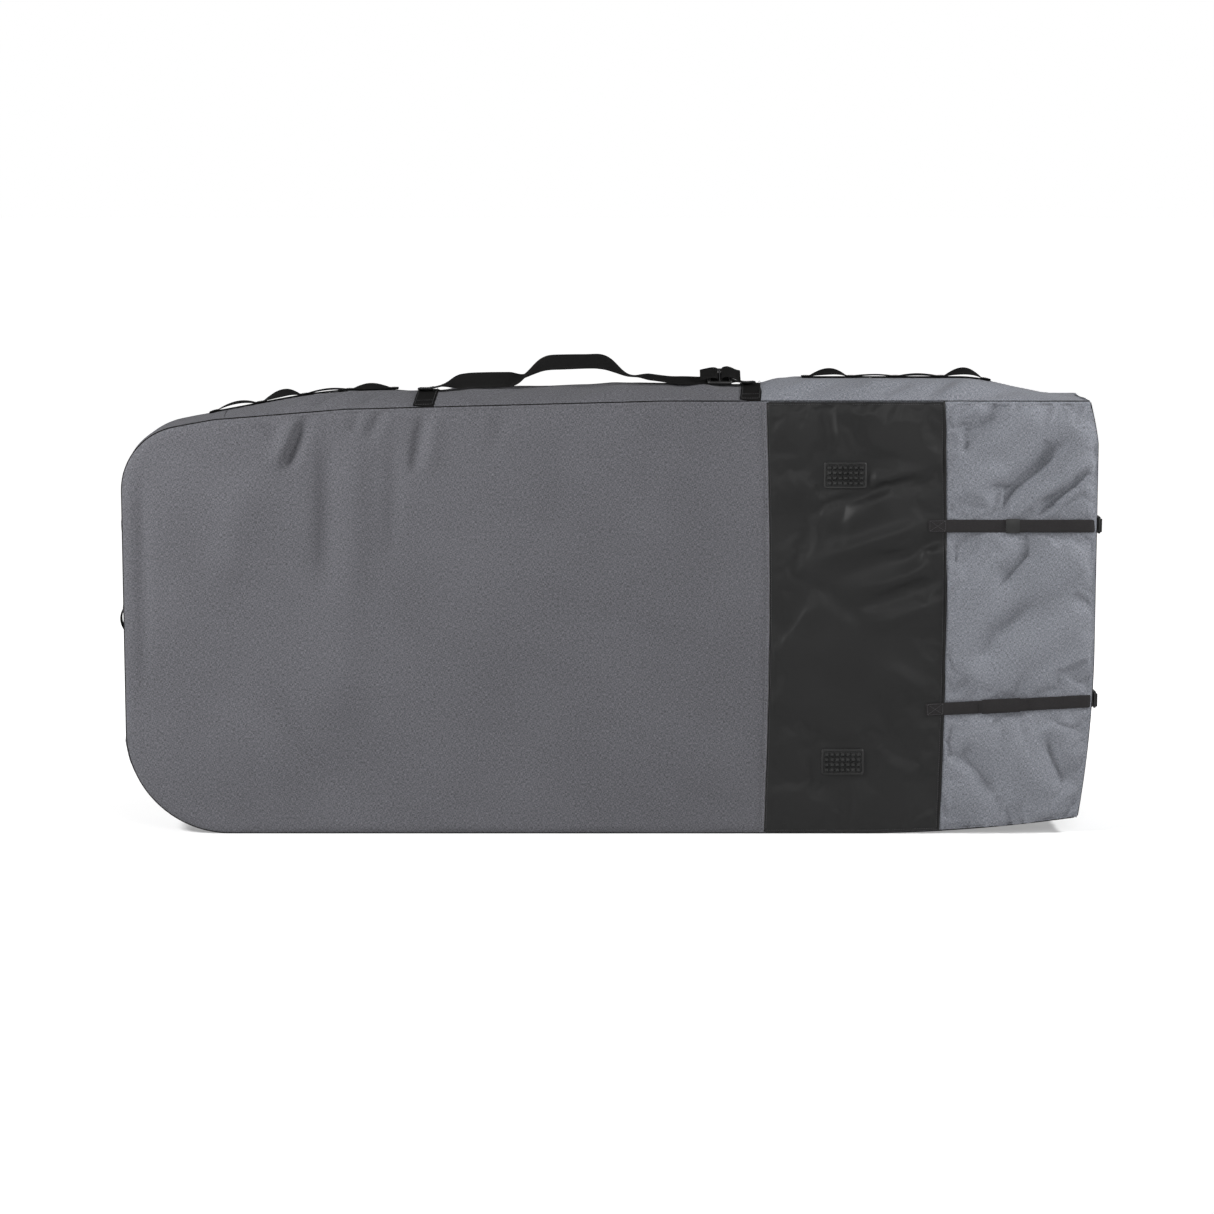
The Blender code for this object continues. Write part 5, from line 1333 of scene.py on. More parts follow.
class BAG_OT_zip(bpy.types.Operator):
    """Zip round the lid: two tapes, a coil, two sliders and their pulls"""
    bl_idname = "bag.zip"
    bl_label = "Zip"

    def execute(self, context):
        near, lid_from, lid_to = LID_MARGIN
        coil_box, lid_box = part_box("zipper_coil"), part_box("zipper_tape_lid")
        shell = rear_band("zip_tape_shell", coil_box[1].x, 0.0003, near - 0.0003, 0.0, 0.0014, "tape")
        place(shell, "main_shell", ("zipper_tape_shell",))
        lid = rear_band("zip_tape_lid", lid_box[1].x, lid_from, lid_to, 0.0, 0.0014, "tape")
        place(lid, "lid", ("zipper_tape_lid",))

        points, inward = ring_path(coil_box[1].x, 0.00080)
        middle = points + inward * (near + 0.0020)
        middle[:, 0] = np.minimum(middle[:, 0], coil_box[1].x)
        y = FACE_Y + rear_relief(middle[:, 0], middle[:, 1])
        high = (np.arange(len(middle)) % 2)[:, None, None]
        turn = 2 * np.pi * np.arange(6) / 6
        across = np.cos(turn)[None, :, None] * (0.00175 + 0.00025 * high)
        up = np.sin(turn)[None, :, None] * (0.00095 + 0.00040 * high)
        centre = xyz(middle[:, 0], y - 0.0002, middle[:, 1])
        side = xyz(inward[:, 0], 0.0, inward[:, 1])
        rings = centre[:, None] + side[:, None] * across + np.array((0.0, 1.0, 0.0)) * up
        coil = add_piece("zip_coil_teeth", *ring_grid(rings), finish("coil"), 180.0)
        place(coil, "main_shell", ("zipper_coil",))
        for name, out in (("tail", 1.0), ("nose", -1.0)):
            self.slider(name, out)
        return {"FINISHED"}

    def slider(self, name, out):
        """A slider: wings, a waisted body and a bridge; its pull: a ringed tab with a waffle grip."""
        low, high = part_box("zip_slider_" + name)
        pull_low, pull_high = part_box("zip_pull_" + name)
        cx, cz = (low.x + high.x) / 2, (low.z + high.z) / 2
        half, wide = (high.x - low.x) / 2, (high.z - low.z) / 2
        depth = high.y - low.y

        def on_face(a, b, c):
            return xyz(cx + out * a, low.y + c, cz + b)

        turn = np.linspace(0.0, 2 * np.pi, 40, endpoint=False)
        a = half * eased(np.cos(turn), 0.55)
        b = wide * eased(np.sin(turn), 0.6) * (0.80 + 0.20 * a / half)
        body = lofted("slider_wing", a, b, ((0.0, 0.0006), (0.0003, 0.0), (0.0012, 0.0), (0.0016, 0.0008)),
                      on_face, finish("plastic"))
        t = np.linspace(0.0, 1.0, 16)
        arch = 0.0012 + (depth - 0.0017) * np.sin(np.pi * t) ** 0.5
        bridge = on_face(-half * 0.55 + half * 1.1 * t, 0.0, arch)
        loop = strap("slider_bridge", bridge, (0.0, 0.0, 1.0), 0.0030, 0.0010, finish("plastic"), 7)
        made = join_pieces("zip_slider_body_" + name, [body, loop])
        place(made, "zip_slider_" + name, ("zip_slider_" + name,))

        near_x = pull_low.x if out > 0 else pull_high.x
        length, width = pull_high.x - pull_low.x, (pull_high.z - pull_low.z)
        mid_z, mid_y = (pull_low.z + pull_high.z) / 2, (pull_low.y + pull_high.y) / 2

        def on_tab(a, b, c):
            return xyz(near_x + out * a, mid_y + c, mid_z + b)

        ring = outline_ring(EYE_HALF, 0.0030, 28)
        ring_a = EYE_HALF + ring[:, 0]
        eye = frame_ring("pull_eye", ring_a, ring[:, 1], 0.0016, 0.0018, on_tab, finish("coil"))
        turn = np.linspace(0.0, 2 * np.pi, 44, endpoint=False)
        tab = length - GRIP_FROM
        a = GRIP_FROM + tab / 2 + tab / 2 * eased(np.cos(turn), 0.45)
        b = width / 2 * eased(np.sin(turn), 0.5) * (0.82 + 0.18 * (a - GRIP_FROM) / tab)
        thick = (pull_high.y - pull_low.y) / 2
        grip = lofted("pull_grip", a, b, ((-thick, 0.0006), (-thick * 0.6, 0.0), (thick * 0.6, 0.0),
                                          (thick, 0.0006)), on_tab, finish("rubber"))
        ribs = []
        for at in np.linspace(0.35, 0.85, 5):
            start = GRIP_FROM + tab * at
            path = on_tab(np.full(5, start), np.linspace(-0.0026, 0.0026, 5), np.full(5, thick * 0.85))
            ribs.append(round_bar("pull_rib", path, 0.00045, finish("rubber"), 6))
        made = join_pieces("zip_pull_tab_" + name, [grip, eye] + ribs)
        place(made, "zip_pull_" + name, ("zip_pull_" + name,))


def inward_of(outline):
    """Directions into a closed outline at each of its points."""
    tangent = unit(np.roll(outline, -1, axis=0) - np.roll(outline, 1, axis=0))
    return np.stack([-tangent[:, 1], tangent[:, 0]], axis=-1)


def boxed(start, end, half, count):
    """Box stitching as (along, across) lines: round a box, then its two diagonals."""
    corners = ((start, -half), (end, -half), (end, half), (start, half), (start, -half), (end, half),
               (end, -half), (start, half))
    t = np.linspace(0.0, 1.0, count)
    return [(a[0] + (b[0] - a[0]) * t, a[1] + (b[1] - a[1]) * t) for a, b in zip(corners[:-1], corners[1:])]


def lofted(name, a, b, levels, to_world, finish, sharp=35.0):
    """A moulded block: an outline repeated at (height, inset) levels and closed at both ends."""
    outline = np.stack([a, b], axis=-1)
    inward = inward_of(outline)
    rings = []
    for height, inset in levels:
        at = outline + inward * inset
        rings.append(to_world(at[:, 0], at[:, 1], np.full(len(at), height)))
    return add_piece(name, *ring_grid(np.array(rings)), finish, sharp)


def outline_ring(half_a, half_b, count, power=0.5):
    """A closed outline between an ellipse (power 1) and a rectangle (power near 0)."""
    turn = np.linspace(0.0, 2 * np.pi, count, endpoint=False)
    return np.stack([half_a * eased(np.cos(turn), power), half_b * eased(np.sin(turn), power)], axis=-1)


def rounded_box(half_a, half_b, radius, steps=6):
    """Closed outline of a rectangle with round corners, from the middle of its +a side."""
    corners = ((half_a - radius, half_b - radius, 0.0), (-half_a + radius, half_b - radius, 90.0),
               (-half_a + radius, -half_b + radius, 180.0), (half_a - radius, -half_b + radius, 270.0))
    points = []
    for ca, cb, first in corners:
        for turn in np.radians(np.linspace(first, first + 90.0, steps)):
            points.append((ca + radius * math.cos(turn), cb + radius * math.sin(turn)))
    return np.array(points)


def frame_ring(name, a, b, width, thickness, to_world, finish):
    """A flat ring or frame: a rounded rectangular section carried round a closed outline."""
    outline = np.stack([a, b], axis=-1)
    inward = inward_of(outline)
    bevel = 0.25 * min(width, thickness)
    w, t = width / 2, thickness / 2
    profile = ((w, t - bevel), (w - bevel, t), (-w + bevel, t), (-w, t - bevel), (-w, -t + bevel),
               (-w + bevel, -t), (w - bevel, -t), (w, -t + bevel))
    rings = []
    for across, up in profile:
        at = outline + inward * across
        rings.append(to_world(at[:, 0], at[:, 1], np.full(len(at), up)))
    rings = np.stack(rings, axis=1)
    return add_piece(name, *loop_grid(rings), finish, 35.0)


BAND_SKEW = 0.006                 # the bands run a little aslant over the crest


class BAG_OT_bands(bpy.types.Operator):
    """Two webbing bands over the top gusset"""
    bl_idname = "bag.bands"
    bl_label = "Handle bands"

    def execute(self, context):
        s = sizes()
        for name, middle in (("nose", BAND_NOSE_X), ("tail", BAND_TAIL_X)):
            v = np.linspace(-0.978, 0.978, 70)
            path = gusset_point(middle + BAND_SKEW * (1.0 - v * v), v, 0.0014)
            path[:, 2] += 0.0003 * ripple(v, 0.5, 81)
            band = strap("band_" + name, path, (1.0, 0.0, 0.0), BAND_WIDTH, WEB_THICK, finish("webbing"), 11)
            place(band, "main_shell", ("handle_band_" + name,))
            rows_of = []
            for edge in (-0.42, 0.42):
                v = np.linspace(-0.95, 0.95, 120)
                at = gusset_point(middle + edge * BAND_WIDTH + BAND_SKEW * (1.0 - v * v), v, 0.0026)
                rows_of.append((at, UP))
            for v_at in (-0.95, -0.80):
                shift = BAND_SKEW * (1.0 - v_at * v_at)
                at = gusset_point(middle + shift + np.linspace(-0.40, 0.40, 12) * BAND_WIDTH, v_at, 0.0026)
                rows_of.append((at, (0.0, -0.5, 0.8)))
            sewn = stitches("band_stitches_" + name, rows_of, finish("dark_thread"), s.pitch, s.thread)
            place(sewn, "main_shell")
        return {"FINISHED"}


HANDLE_Y = (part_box("adjuster_frame")[0].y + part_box("adjuster_frame")[1].y) / 2
HANDLE_WIDTH = 0.038
ARCH_RISE = 0.030
ARCH_TILT = 42.0
CRADLE = 0.015                    # height of the handle's feet above the crest
RUN_LIFT = 0.0055
STRAP_OVER = 0.006                # the strap laps over each band


def crest(x):
    """Height of the gusset's crest under the handle strap, without folds."""
    return top_z(x) + crown(x) * (1.0 - (HANDLE_Y / SHELL_Y) ** 2)


def handle_path(count):
    """Path and width direction of the carry strap, band to band.

    Two low runs lead to a raised arch whose face leans towards the front."""
    x0, x1 = ARCH[0].x, ARCH[1].x
    x = np.linspace(BAND_NOSE_X - BAND_WIDTH / 2 + STRAP_OVER, BAND_TAIL_X + BAND_WIDTH / 2 - STRAP_OVER, count)
    t = np.clip((x - x0) / (x1 - x0), 0.0, 1.0)
    ease = smooth(np.minimum(t, 1.0 - t) * (x1 - x0) / 0.066)
    foot = crest(x0) + CRADLE + (crest(x1) - crest(x0)) * t
    z = foot + ARCH_RISE * ease
    nose_from, tail_to = BAND_NOSE_X + BAND_WIDTH / 2, BAND_TAIL_X - BAND_WIDTH / 2
    nose = np.clip((x - nose_from) / (x0 - nose_from), 0.0, 1.0)
    tail = np.clip((x - x1) / (tail_to - x1), 0.0, 1.0)
    z = np.where(x < x0, top_z(x) + crown(x) + RUN_LIFT + (CRADLE - RUN_LIFT) * smooth(nose * 2.4), z)
    z = np.where(x > x1, top_z(x) + crown(x) + RUN_LIFT + (CRADLE - RUN_LIFT) * smooth(1.0 - 2.2 * tail), z)
    z = np.where(x < nose_from, top_z(x) + crown(x) - PINCH + 0.0048 + 0.001, z)
    z = np.where(x > tail_to, top_z(x) + crown(x) - PINCH + 0.0048 + 0.001, z)
    z = np.convolve(np.pad(z, 6, mode="edge"), np.ones(13) / 13, mode="valid")
    lay = smooth((x - nose_from - 0.008) / 0.040) * smooth((x0 + 0.03 - x) / 0.04)
    tilt = np.radians(ARCH_TILT) * np.maximum(ease, lay) + 0.30 * smooth((x - x1) / 0.03) * smooth(
        (tail_to - x) / 0.02)
    tilt = tilt + 0.05 * ripple(x, 0.12, 85) * smooth((x - nose_from) / 0.03) * smooth((tail_to - x) / 0.03)
    y = HANDLE_Y + 0.0012 * ripple(x, 0.14, 86) * smooth((x - nose_from) / 0.04) * smooth((tail_to - x) / 0.04)
    path = xyz(x, y, z - WEB_THICK / 2)
    tangent = unit(np.gradient(path, axis=0))
    across = np.array((0.0, 1.0, 0.0)) - tangent * tangent[:, 1:2]
    up = np.cross(tangent, across)
    return path, across * np.cos(tilt)[:, None] + up * np.sin(tilt)[:, None]


# the webbing's way through the adjuster, along the strap and up from the middle of its bar
ADJUSTER_FOLD = ((-0.036, 0.0030), (-0.026, 0.0058), (-0.014, 0.0084), (-0.0050, 0.0070), (-0.0036, 0.0014),
                 (-0.0022, -0.0030), (0.0022, -0.0030), (0.0036, 0.0014), (0.0050, 0.0080), (0.0130, 0.0106),
                 (0.0210, 0.0086), (0.0300, 0.0040), (0.0380, 0.0016))


ADJUSTER_LEAN = 28.0              # degrees
ADJUSTER_LIFT = 0.0036


class BAG_OT_handle(bpy.types.Operator):
    """Carry strap between the bands, with its adjuster"""
    bl_idname = "bag.handle"
    bl_label = "Carry strap"

    def execute(self, context):
        s = sizes()
        path, side = handle_path(340)
        middle = int(np.argmin(np.abs(path[:, 0] - (ARCH[0].x + ARCH[1].x) / 2)))
        x0, x1 = ARCH[0].x, ARCH[1].x
        halves = (("nose", slice(0, middle + 1), x0, x0 + 0.05, ("carry_strap_nose_run", "carry_strap")),
                  ("tail", slice(middle, None), x1, x1 - 0.05, ("carry_strap_tail_run",)))
        for name, part, start, end, gone in halves:
            made = strap("carry_strap_" + name + "_half", path[part], side[part], HANDLE_WIDTH, WEB_THICK,
                         finish("webbing"), 13)
            place(made, "main_shell", gone,
                  ("carry_handle", (start, 0.0, 0.0), (end, 0.0, 0.0)))
        rows_of = []
        for low, high in ((BAND_NOSE_X - BAND_WIDTH / 2 + 0.009, BAND_NOSE_X + BAND_WIDTH / 2 - 0.004),
                          (BAND_TAIL_X - BAND_WIDTH / 2 + 0.004, BAND_TAIL_X + BAND_WIDTH / 2 - 0.009)):
            for x, share in boxed(low, high, 0.8, 14):
                z = np.interp(x, path[:, 0], path[:, 2]) + WEB_THICK / 2
                y = HANDLE_Y + share * HANDLE_WIDTH / 2
                rows_of.append((xyz(x, y, z), UP))
        sewn = stitches("handle_stitches", rows_of, finish("dark_thread"), s.pitch, s.thread)
        place(sewn, "main_shell")
        self.adjuster()
        return {"FINISHED"}

    def adjuster(self):
        """Tri-glide: a moulded frame, a steel bar, and the webbing folded over the bar."""
        low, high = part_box("adjuster_frame")
        middle = (low + high) / 2
        lean, lift = math.radians(ADJUSTER_LEAN), ADJUSTER_LIFT

        def on_frame(a, b, c):
            b, c = b * math.cos(lean) - c * math.sin(lean), b * math.sin(lean) + c * math.cos(lean)
            return xyz(middle.x + a, middle.y + b, middle.z + lift + c)

        ring = rounded_box((high.x - low.x) / 2 - 0.003, (high.y - low.y) / 2 - 0.003, 0.004)
        made = frame_ring("adjuster_frame_moulding", ring[:, 0], ring[:, 1], 0.006, high.z - low.z, on_frame,
                          finish("plastic"))
        place(made, "strap_adjuster", ("adjuster_frame",))
        bar_low, bar_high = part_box("adjuster_bar")
        reach = np.linspace(-0.5, 0.5, 20) * (bar_high.y - bar_low.y + 0.003)
        bar = round_bar("adjuster_steel_bar", on_frame(reach * 0, reach, reach * 0),
                        (bar_high.x - bar_low.x) / 2, finish("steel"), 16)
        place(bar, "strap_adjuster", ("adjuster_bar",))
        line = curve(ADJUSTER_FOLD, 80)
        path = on_frame(line[:, 0], line[:, 0] * 0, line[:, 1])
        side = on_frame(0.0, 1.0, 0.0) - on_frame(0.0, 0.0, 0.0)
        fold_over = strap("adjuster_webbing", path, side, 0.0368, 0.0018, finish("webbing"), 11)
        place(fold_over, "strap_adjuster")


LOOP_LEAN = {"nose": (0.15, 0.55, 0.05, 0.40), "tail": (0.45, 0.0, 0.08, 0.50)}
LOOP_RISE = {"nose": (0.0070, 0.0085, 0.0028, 0.0045), "tail": (0.0085, 0.0022, 0.0028, 0.0095)}


class BAG_OT_chains(bpy.types.Operator):
    """Two chains of webbing lash loops on the crest, and the grab loop on the nose"""
    bl_idname = "bag.chains"
    bl_label = "Lash loops"

    def execute(self, context):
        s = sizes()
        pitch, tack, half = 0.083, 0.016, STRAP_WIDTH / 2
        for name in ("nose", "tail"):
            low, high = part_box("daisy_chain_" + name)
            rng = np.random.default_rng(90 + len(name) + ord(name[0]))
            x = np.linspace(low.x, high.x, 120)
            base = xyz(x, 0.0, top_z(x) + crown(x) + 0.0008)
            parts = [strap("chain_base", base, (0.0, 1.0, 0.0), STRAP_WIDTH, 0.0016, finish("webbing"))]
            t = np.linspace(0.0, 1.0, 150)
            x = low.x + (high.x - low.x) * t
            rise = np.zeros(150)
            lean = np.zeros(150)
            for i in range(4):
                a = low.x + tack + pitch * i
                u = np.clip((x - a) / (pitch - tack), 0.0, 1.0)
                peak = rng.uniform(0.35, 0.65)
                warp = np.interp(u, (0.0, peak, 1.0), (0.0, 0.5, 1.0))
                rise += LOOP_RISE[name][i] * np.sin(np.pi * warp) ** 0.8
                lean += LOOP_LEAN[name][i] * np.sin(np.pi * u)
            y = -0.0080 * np.sin(lean)
            path = xyz(x, y, top_z(x) + crown(x) + 0.0026 + rise)
            side = xyz(x * 0, np.cos(lean), np.sin(lean))
            parts.append(strap("chain_loops", path, side, STRAP_WIDTH, 0.0017, finish("webbing")))
            made = join_pieces("lash_loops_" + name, parts)
            place(made, "main_shell", ("daisy_chain_" + name,))
            rows_of = []
            for i in range(5):
                for shift in (-0.0030, 0.0, 0.0030):
                    at = low.x + tack / 2 + pitch * i + shift
                    y = np.linspace(-half * 0.85, half * 0.85, 10)
                    z = float(top_z(at) + crown(at)) + 0.0036
                    rows_of.append((xyz(at, y, z), UP))
            sewn = stitches("lash_loop_tacks_" + name, rows_of, finish("dark_thread"), 0.0026, s.thread)
            place(sewn, "main_shell")

        low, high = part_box("nose_grab_loop")
        tack = 0.010
        z = np.linspace(low.z, high.z, 80)
        u = np.clip((z - low.z - tack) / (high.z - low.z - 2 * tack), 0.0, 1.0)
        out = 0.0012 + (high.x - low.x + 0.0050) * np.sin(np.pi * u) ** 0.7
        path = xyz(high.x - out, 0.0, z)
        parts = [strap("grab_loop", path, (0.0, 1.0, 0.0), STRAP_WIDTH, 0.0018, finish("webbing"))]
        rows_of = []
        for ends in (low.z + 0.003, low.z + 0.008, high.z - 0.003, high.z - 0.008):
            y = np.linspace(-half * 0.85, half * 0.85, 10)
            rows_of.append((xyz(high.x - 0.0022, y, ends), (-1.0, 0.0, 0.0)))
        parts.append(stitches("grab_loop_tacks", rows_of, finish("dark_thread"), 0.0026, s.thread))
        made = join_pieces("grab_loop_webbing", parts)
        place(made, "main_shell", ("nose_grab_loop",))
        return {"FINISHED"}


STRAP_SINK = 0.00070              # the straps lie this much deeper than mid keeper
STRAP_THICK = 0.0012
TONGUES = {"upper": (0.7300, 0.8290), "lower": (0.6800, 0.7700)}      # where the straps' free ends lie


class BAG_OT_straps(bpy.types.Operator):
    """Two compression straps across the tail section, with keepers, buckles and anchors"""
    bl_idname = "bag.straps"
    bl_label = "Compression straps"

    def execute(self, context):
        for name in STRAPS:
            self.webbing(name)
            self.keeper(name)
            self.buckle(name)
        return {"FINISHED"}

    def webbing(self, name):
        """The long strap with its doubled layer, turned round the tail edge to its buckle."""
        s = sizes()
        x0, x1 = STRAPS[name][0].x, STRAPS[name][1].x
        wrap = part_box(name + "_strap_end")
        y_out = -(STRAPS[name][0].y + STRAPS[name][1].y) / 2 - STRAP_SINK
        x = np.linspace(x0, x1 - 0.004, 100)
        middle = strap_middle(name, x)
        y = y_out - 0.0004 * (1.0 - smooth((x - x0) / 0.03))
        flat_part = xyz(x, -y, middle)
        level = float(strap_middle(name, x1))
        corner = wrap[1].x - 0.001
        bend = [(x1 - 0.004, -y_out), (x1 + 0.006, -y_out + 0.0002), (corner - 0.008, -y_out + 0.0026),
                (corner - 0.0008, -y_out + 0.0110), (corner, -y_out + 0.0200), (corner, -0.075),
                (corner, wrap[1].y)]
        line = curve(bend, 50)[1:]
        round_part = xyz(line[:, 0], line[:, 1], level)
        path = resample(np.concatenate([flat_part, round_part]), 0.0028)
        made = strap("strap_" + name, path, UP, STRAP_WIDTH - 0.0016, STRAP_THICK, finish("strap"), 11)
        place(made, "main_shell", (name + "_strap", name + "_strap_end"), TO_TAIL)
        start, end = TONGUES[name]
        x = np.linspace(start, end, 40)
        layer = xyz(x, -y_out - STRAP_THICK - 0.0001, strap_middle(name, x) + 0.0004)
        tongue = strap("strap_tongue_" + name, layer, UP, STRAP_WIDTH - 0.0024, STRAP_THICK - 0.0001,
                       finish("strap"), 11)
        place(tongue, "main_shell", (), TO_TAIL)
        half = STRAP_WIDTH / 2 - 0.003
        rows_of = []
        for at, up in boxed(x0 + 0.003, WEAR_X1 - 0.003, half, 12):
            y = np.interp(at, flat_part[:, 0], flat_part[:, 1]) - STRAP_THICK / 2
            rows_of.append((xyz(at, y, strap_middle(name, at) + up), FRONT))
        sewn = stitches("strap_box_stitches_" + name, rows_of, finish("dark_thread"), 0.0036, s.thread)
        place(sewn, "main_shell")

    def keeper(self, name):
        """A flat sleeve round the strap, ribbed along its edges."""
        low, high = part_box(name + "_strap_keeper")
        middle_x, level = (low.x + high.x) / 2, float(strap_middle(name, (low.x + high.x) / 2))
        slope = STRAP_RUN[name][2]
        length = high.x - low.x
        wide = 0.0276 / 2
        y_mid, y_half = (low.y + high.y) / 2, (high.y - low.y) / 2
        ring = rounded_box(wide - 0.0006, y_half - 0.0006, 0.0014, 4)
        steps = np.linspace(-0.5, 0.5, 21)
        rings_out, rings_in = [], []
        for t in steps:
            rib = 0.0003 * math.cos(2 * math.pi * t * 6) if abs(t) < 0.46 else -0.0002
            grown = ring * (1.0 + rib / 0.003 * np.array((0.05, 1.0)))
            shrunk = ring * np.array(((wide - 0.0010) / wide, (y_half - 0.0005) / y_half))
            x = middle_x + t * length
            for keep, shape in ((rings_out, grown), (rings_in, shrunk)):
                keep.append(xyz(x, y_mid + shape[:, 1], level + shape[:, 0] + slope * t * length))
        rings = np.array(rings_out + rings_in[::-1])
        key = "plastic" if name == "upper" else "strap"
        made = add_piece(name + "_keeper_sleeve", *loop_grid(rings), finish(key), 40.0)
        place(made, name + "_keeper",
              (name + "_strap_keeper",))

    def buckle(self, name):
        """A ladder-lock frame with two bars on the end panel, and the webbing that anchors it."""
        s = sizes()
        low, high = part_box(name + "_end_buckle")
        middle = (low + high) / 2
        half_y, half_z, thick = (high.y - low.y) / 2, (high.z - low.z) / 2, high.x - low.x

        def on_end(a, b, c):
            return xyz(middle.x - thick / 2 + 0.0022 + c, middle.y + a, middle.z + b)

        ring = rounded_box(half_y - 0.0022, half_z - 0.0014, 0.0035)
        parts = [frame_ring("lock_frame", ring[:, 0], ring[:, 1], 0.0028, 0.0042, on_end, finish("plastic"))]
        for at, lift in ((-half_y + 0.012, 0.0006), (half_y - 0.010, 0.0)):
            z = np.linspace(-half_z + 0.0014, half_z - 0.0014, 12)
            bow = 0.0012 * np.cos(np.pi * z / (2 * half_z))
            path = on_end(np.full(12, at), z, lift + bow)
            parts.append(round_bar("lock_bar", path, 0.0017, finish("plastic"), 10))
        u = np.linspace(0.0, 1.0, 14)
        lip = on_end(-half_y + 0.003 - 0.002 * u, 0.0 * u, 0.0010 + 0.0034 * u)
        parts.append(strap("lock_lip", lip, UP, 2 * half_z - 0.006, 0.0014, finish("plastic"), 9))
        made = join_pieces(name + "_ladder_lock", parts)
        place(made, name + "_buckle", (name + "_end_buckle",))

        a_low, a_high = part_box(name + "_buckle_anchor")
        face, level = (a_low.x + a_high.x) / 2, (a_low.z + a_high.z) / 2
        bend = [(face, a_high.y), (face, -0.030), (face + 0.0004, a_low.y), (face + 0.0012, a_low.y - 0.006)]
        line = curve(bend, 40)
        path = xyz(line[:, 0], line[:, 1], level)
        piece = strap(name + "_anchor_webbing", path, UP, STRAP_WIDTH, WEB_THICK, finish("strap"), 11)
        place(piece, "tail_end", (name + "_buckle_anchor",))
        half = STRAP_WIDTH / 2 - 0.003
        rows_of = [(xyz(face + WEB_THICK / 2, y, level + up), (1.0, 0.0, 0.0))
                   for y, up in boxed(a_high.y - 0.003, a_high.y - 0.026, half, 10)]
        sewn = stitches(name + "_anchor_stitches", rows_of, finish("dark_thread"), 0.0036, s.thread)
        place(sewn, "tail_end")


class BAG_OT_pads(bpy.types.Operator):
    """Two rubber skid pads with a rim and rows of pyramid studs"""
    bl_idname = "bag.pads"
    bl_label = "Skid pads"

    def execute(self, context):
        s = sizes()
        for name, (low, high) in PADS.items():
            middle = (low + high) / 2
            half_x, half_z, height = (high.x - low.x) / 2, (high.z - low.z) / 2, high.y - low.y

            def on_pad(a, b, c):
                return xyz(middle.x + a, high.y - c, middle.z + b)

            edge = rounded_box(half_x, half_z, 0.0045)
            parts = [lofted("pad_base", edge[:, 0], edge[:, 1],
                            ((-0.0008, 0.0), (0.0024, 0.0), (0.0030, 0.0006)), on_pad, finish("rubber"))]
            rim = rounded_box(half_x - 0.0022, half_z - 0.0022, 0.0032)
            parts.append(frame_ring("pad_rim", rim[:, 0], rim[:, 1], 0.0034, 0.0036,
                                    lambda a, b, c: on_pad(a, b, c + 0.0028), finish("rubber")))
            parts.append(self.studs(half_x - 0.0050, half_z - 0.0050, height, on_pad))
            made = join_pieces(name + "_moulding", parts)
            place(made, "main_shell", (name,))
            path = rounded_box(half_x - 0.0006, half_z - 0.0006, 0.004)
            path = np.concatenate([path, path[:1]])
            line = on_pad(path[:, 0], path[:, 1], np.full(len(path), 0.0027))
            sewn = stitches(name + "_stitches", [(resample(line, 0.001), FRONT)], finish("dark_thread"),
                            s.pitch, s.thread * 0.8)
            place(sewn, "main_shell")
        return {"FINISHED"}

    def studs(self, reach_a, reach_b, height, on_pad):
        """Seven by four blunt pyramids, their sides drawn in to a small flat top."""
        across, up = 7, 4
        pitch_a, pitch_b = 2 * reach_a / across, 2 * reach_b / up
        points, quads = [], []
        for i in range(across):
            for j in range(up):
                ca = -reach_a + pitch_a * (i + 0.5)
                cb = -reach_b + pitch_b * (j + 0.5)
                first = len(points)
                for share, level in ((0.47, 0.0018), (0.46, 0.0032), (0.20, height - 0.0004), (0.14, height)):
                    for sa, sb in ((-1, -1), (1, -1), (1, 1), (-1, 1)):
                        points.append((ca + sa * share * pitch_a, cb + sb * share * pitch_b, level))
                for level in range(3):
                    for k in range(4):
                        a, b = first + 4 * level + k, first + 4 * level + (k + 1) % 4
                        quads.append((a, b, b + 4, a + 4))
                quads.append((first + 3, first + 2, first + 1, first))
                quads.append((first + 12, first + 13, first + 14, first + 15))
        points = np.array(points)
        world = on_pad(points[:, 0], points[:, 1], points[:, 2])
        quads = np.array(quads)
        return add_piece("pad_studs", world, quads, points[quads][..., :2], finish("rubber"), 30.0)


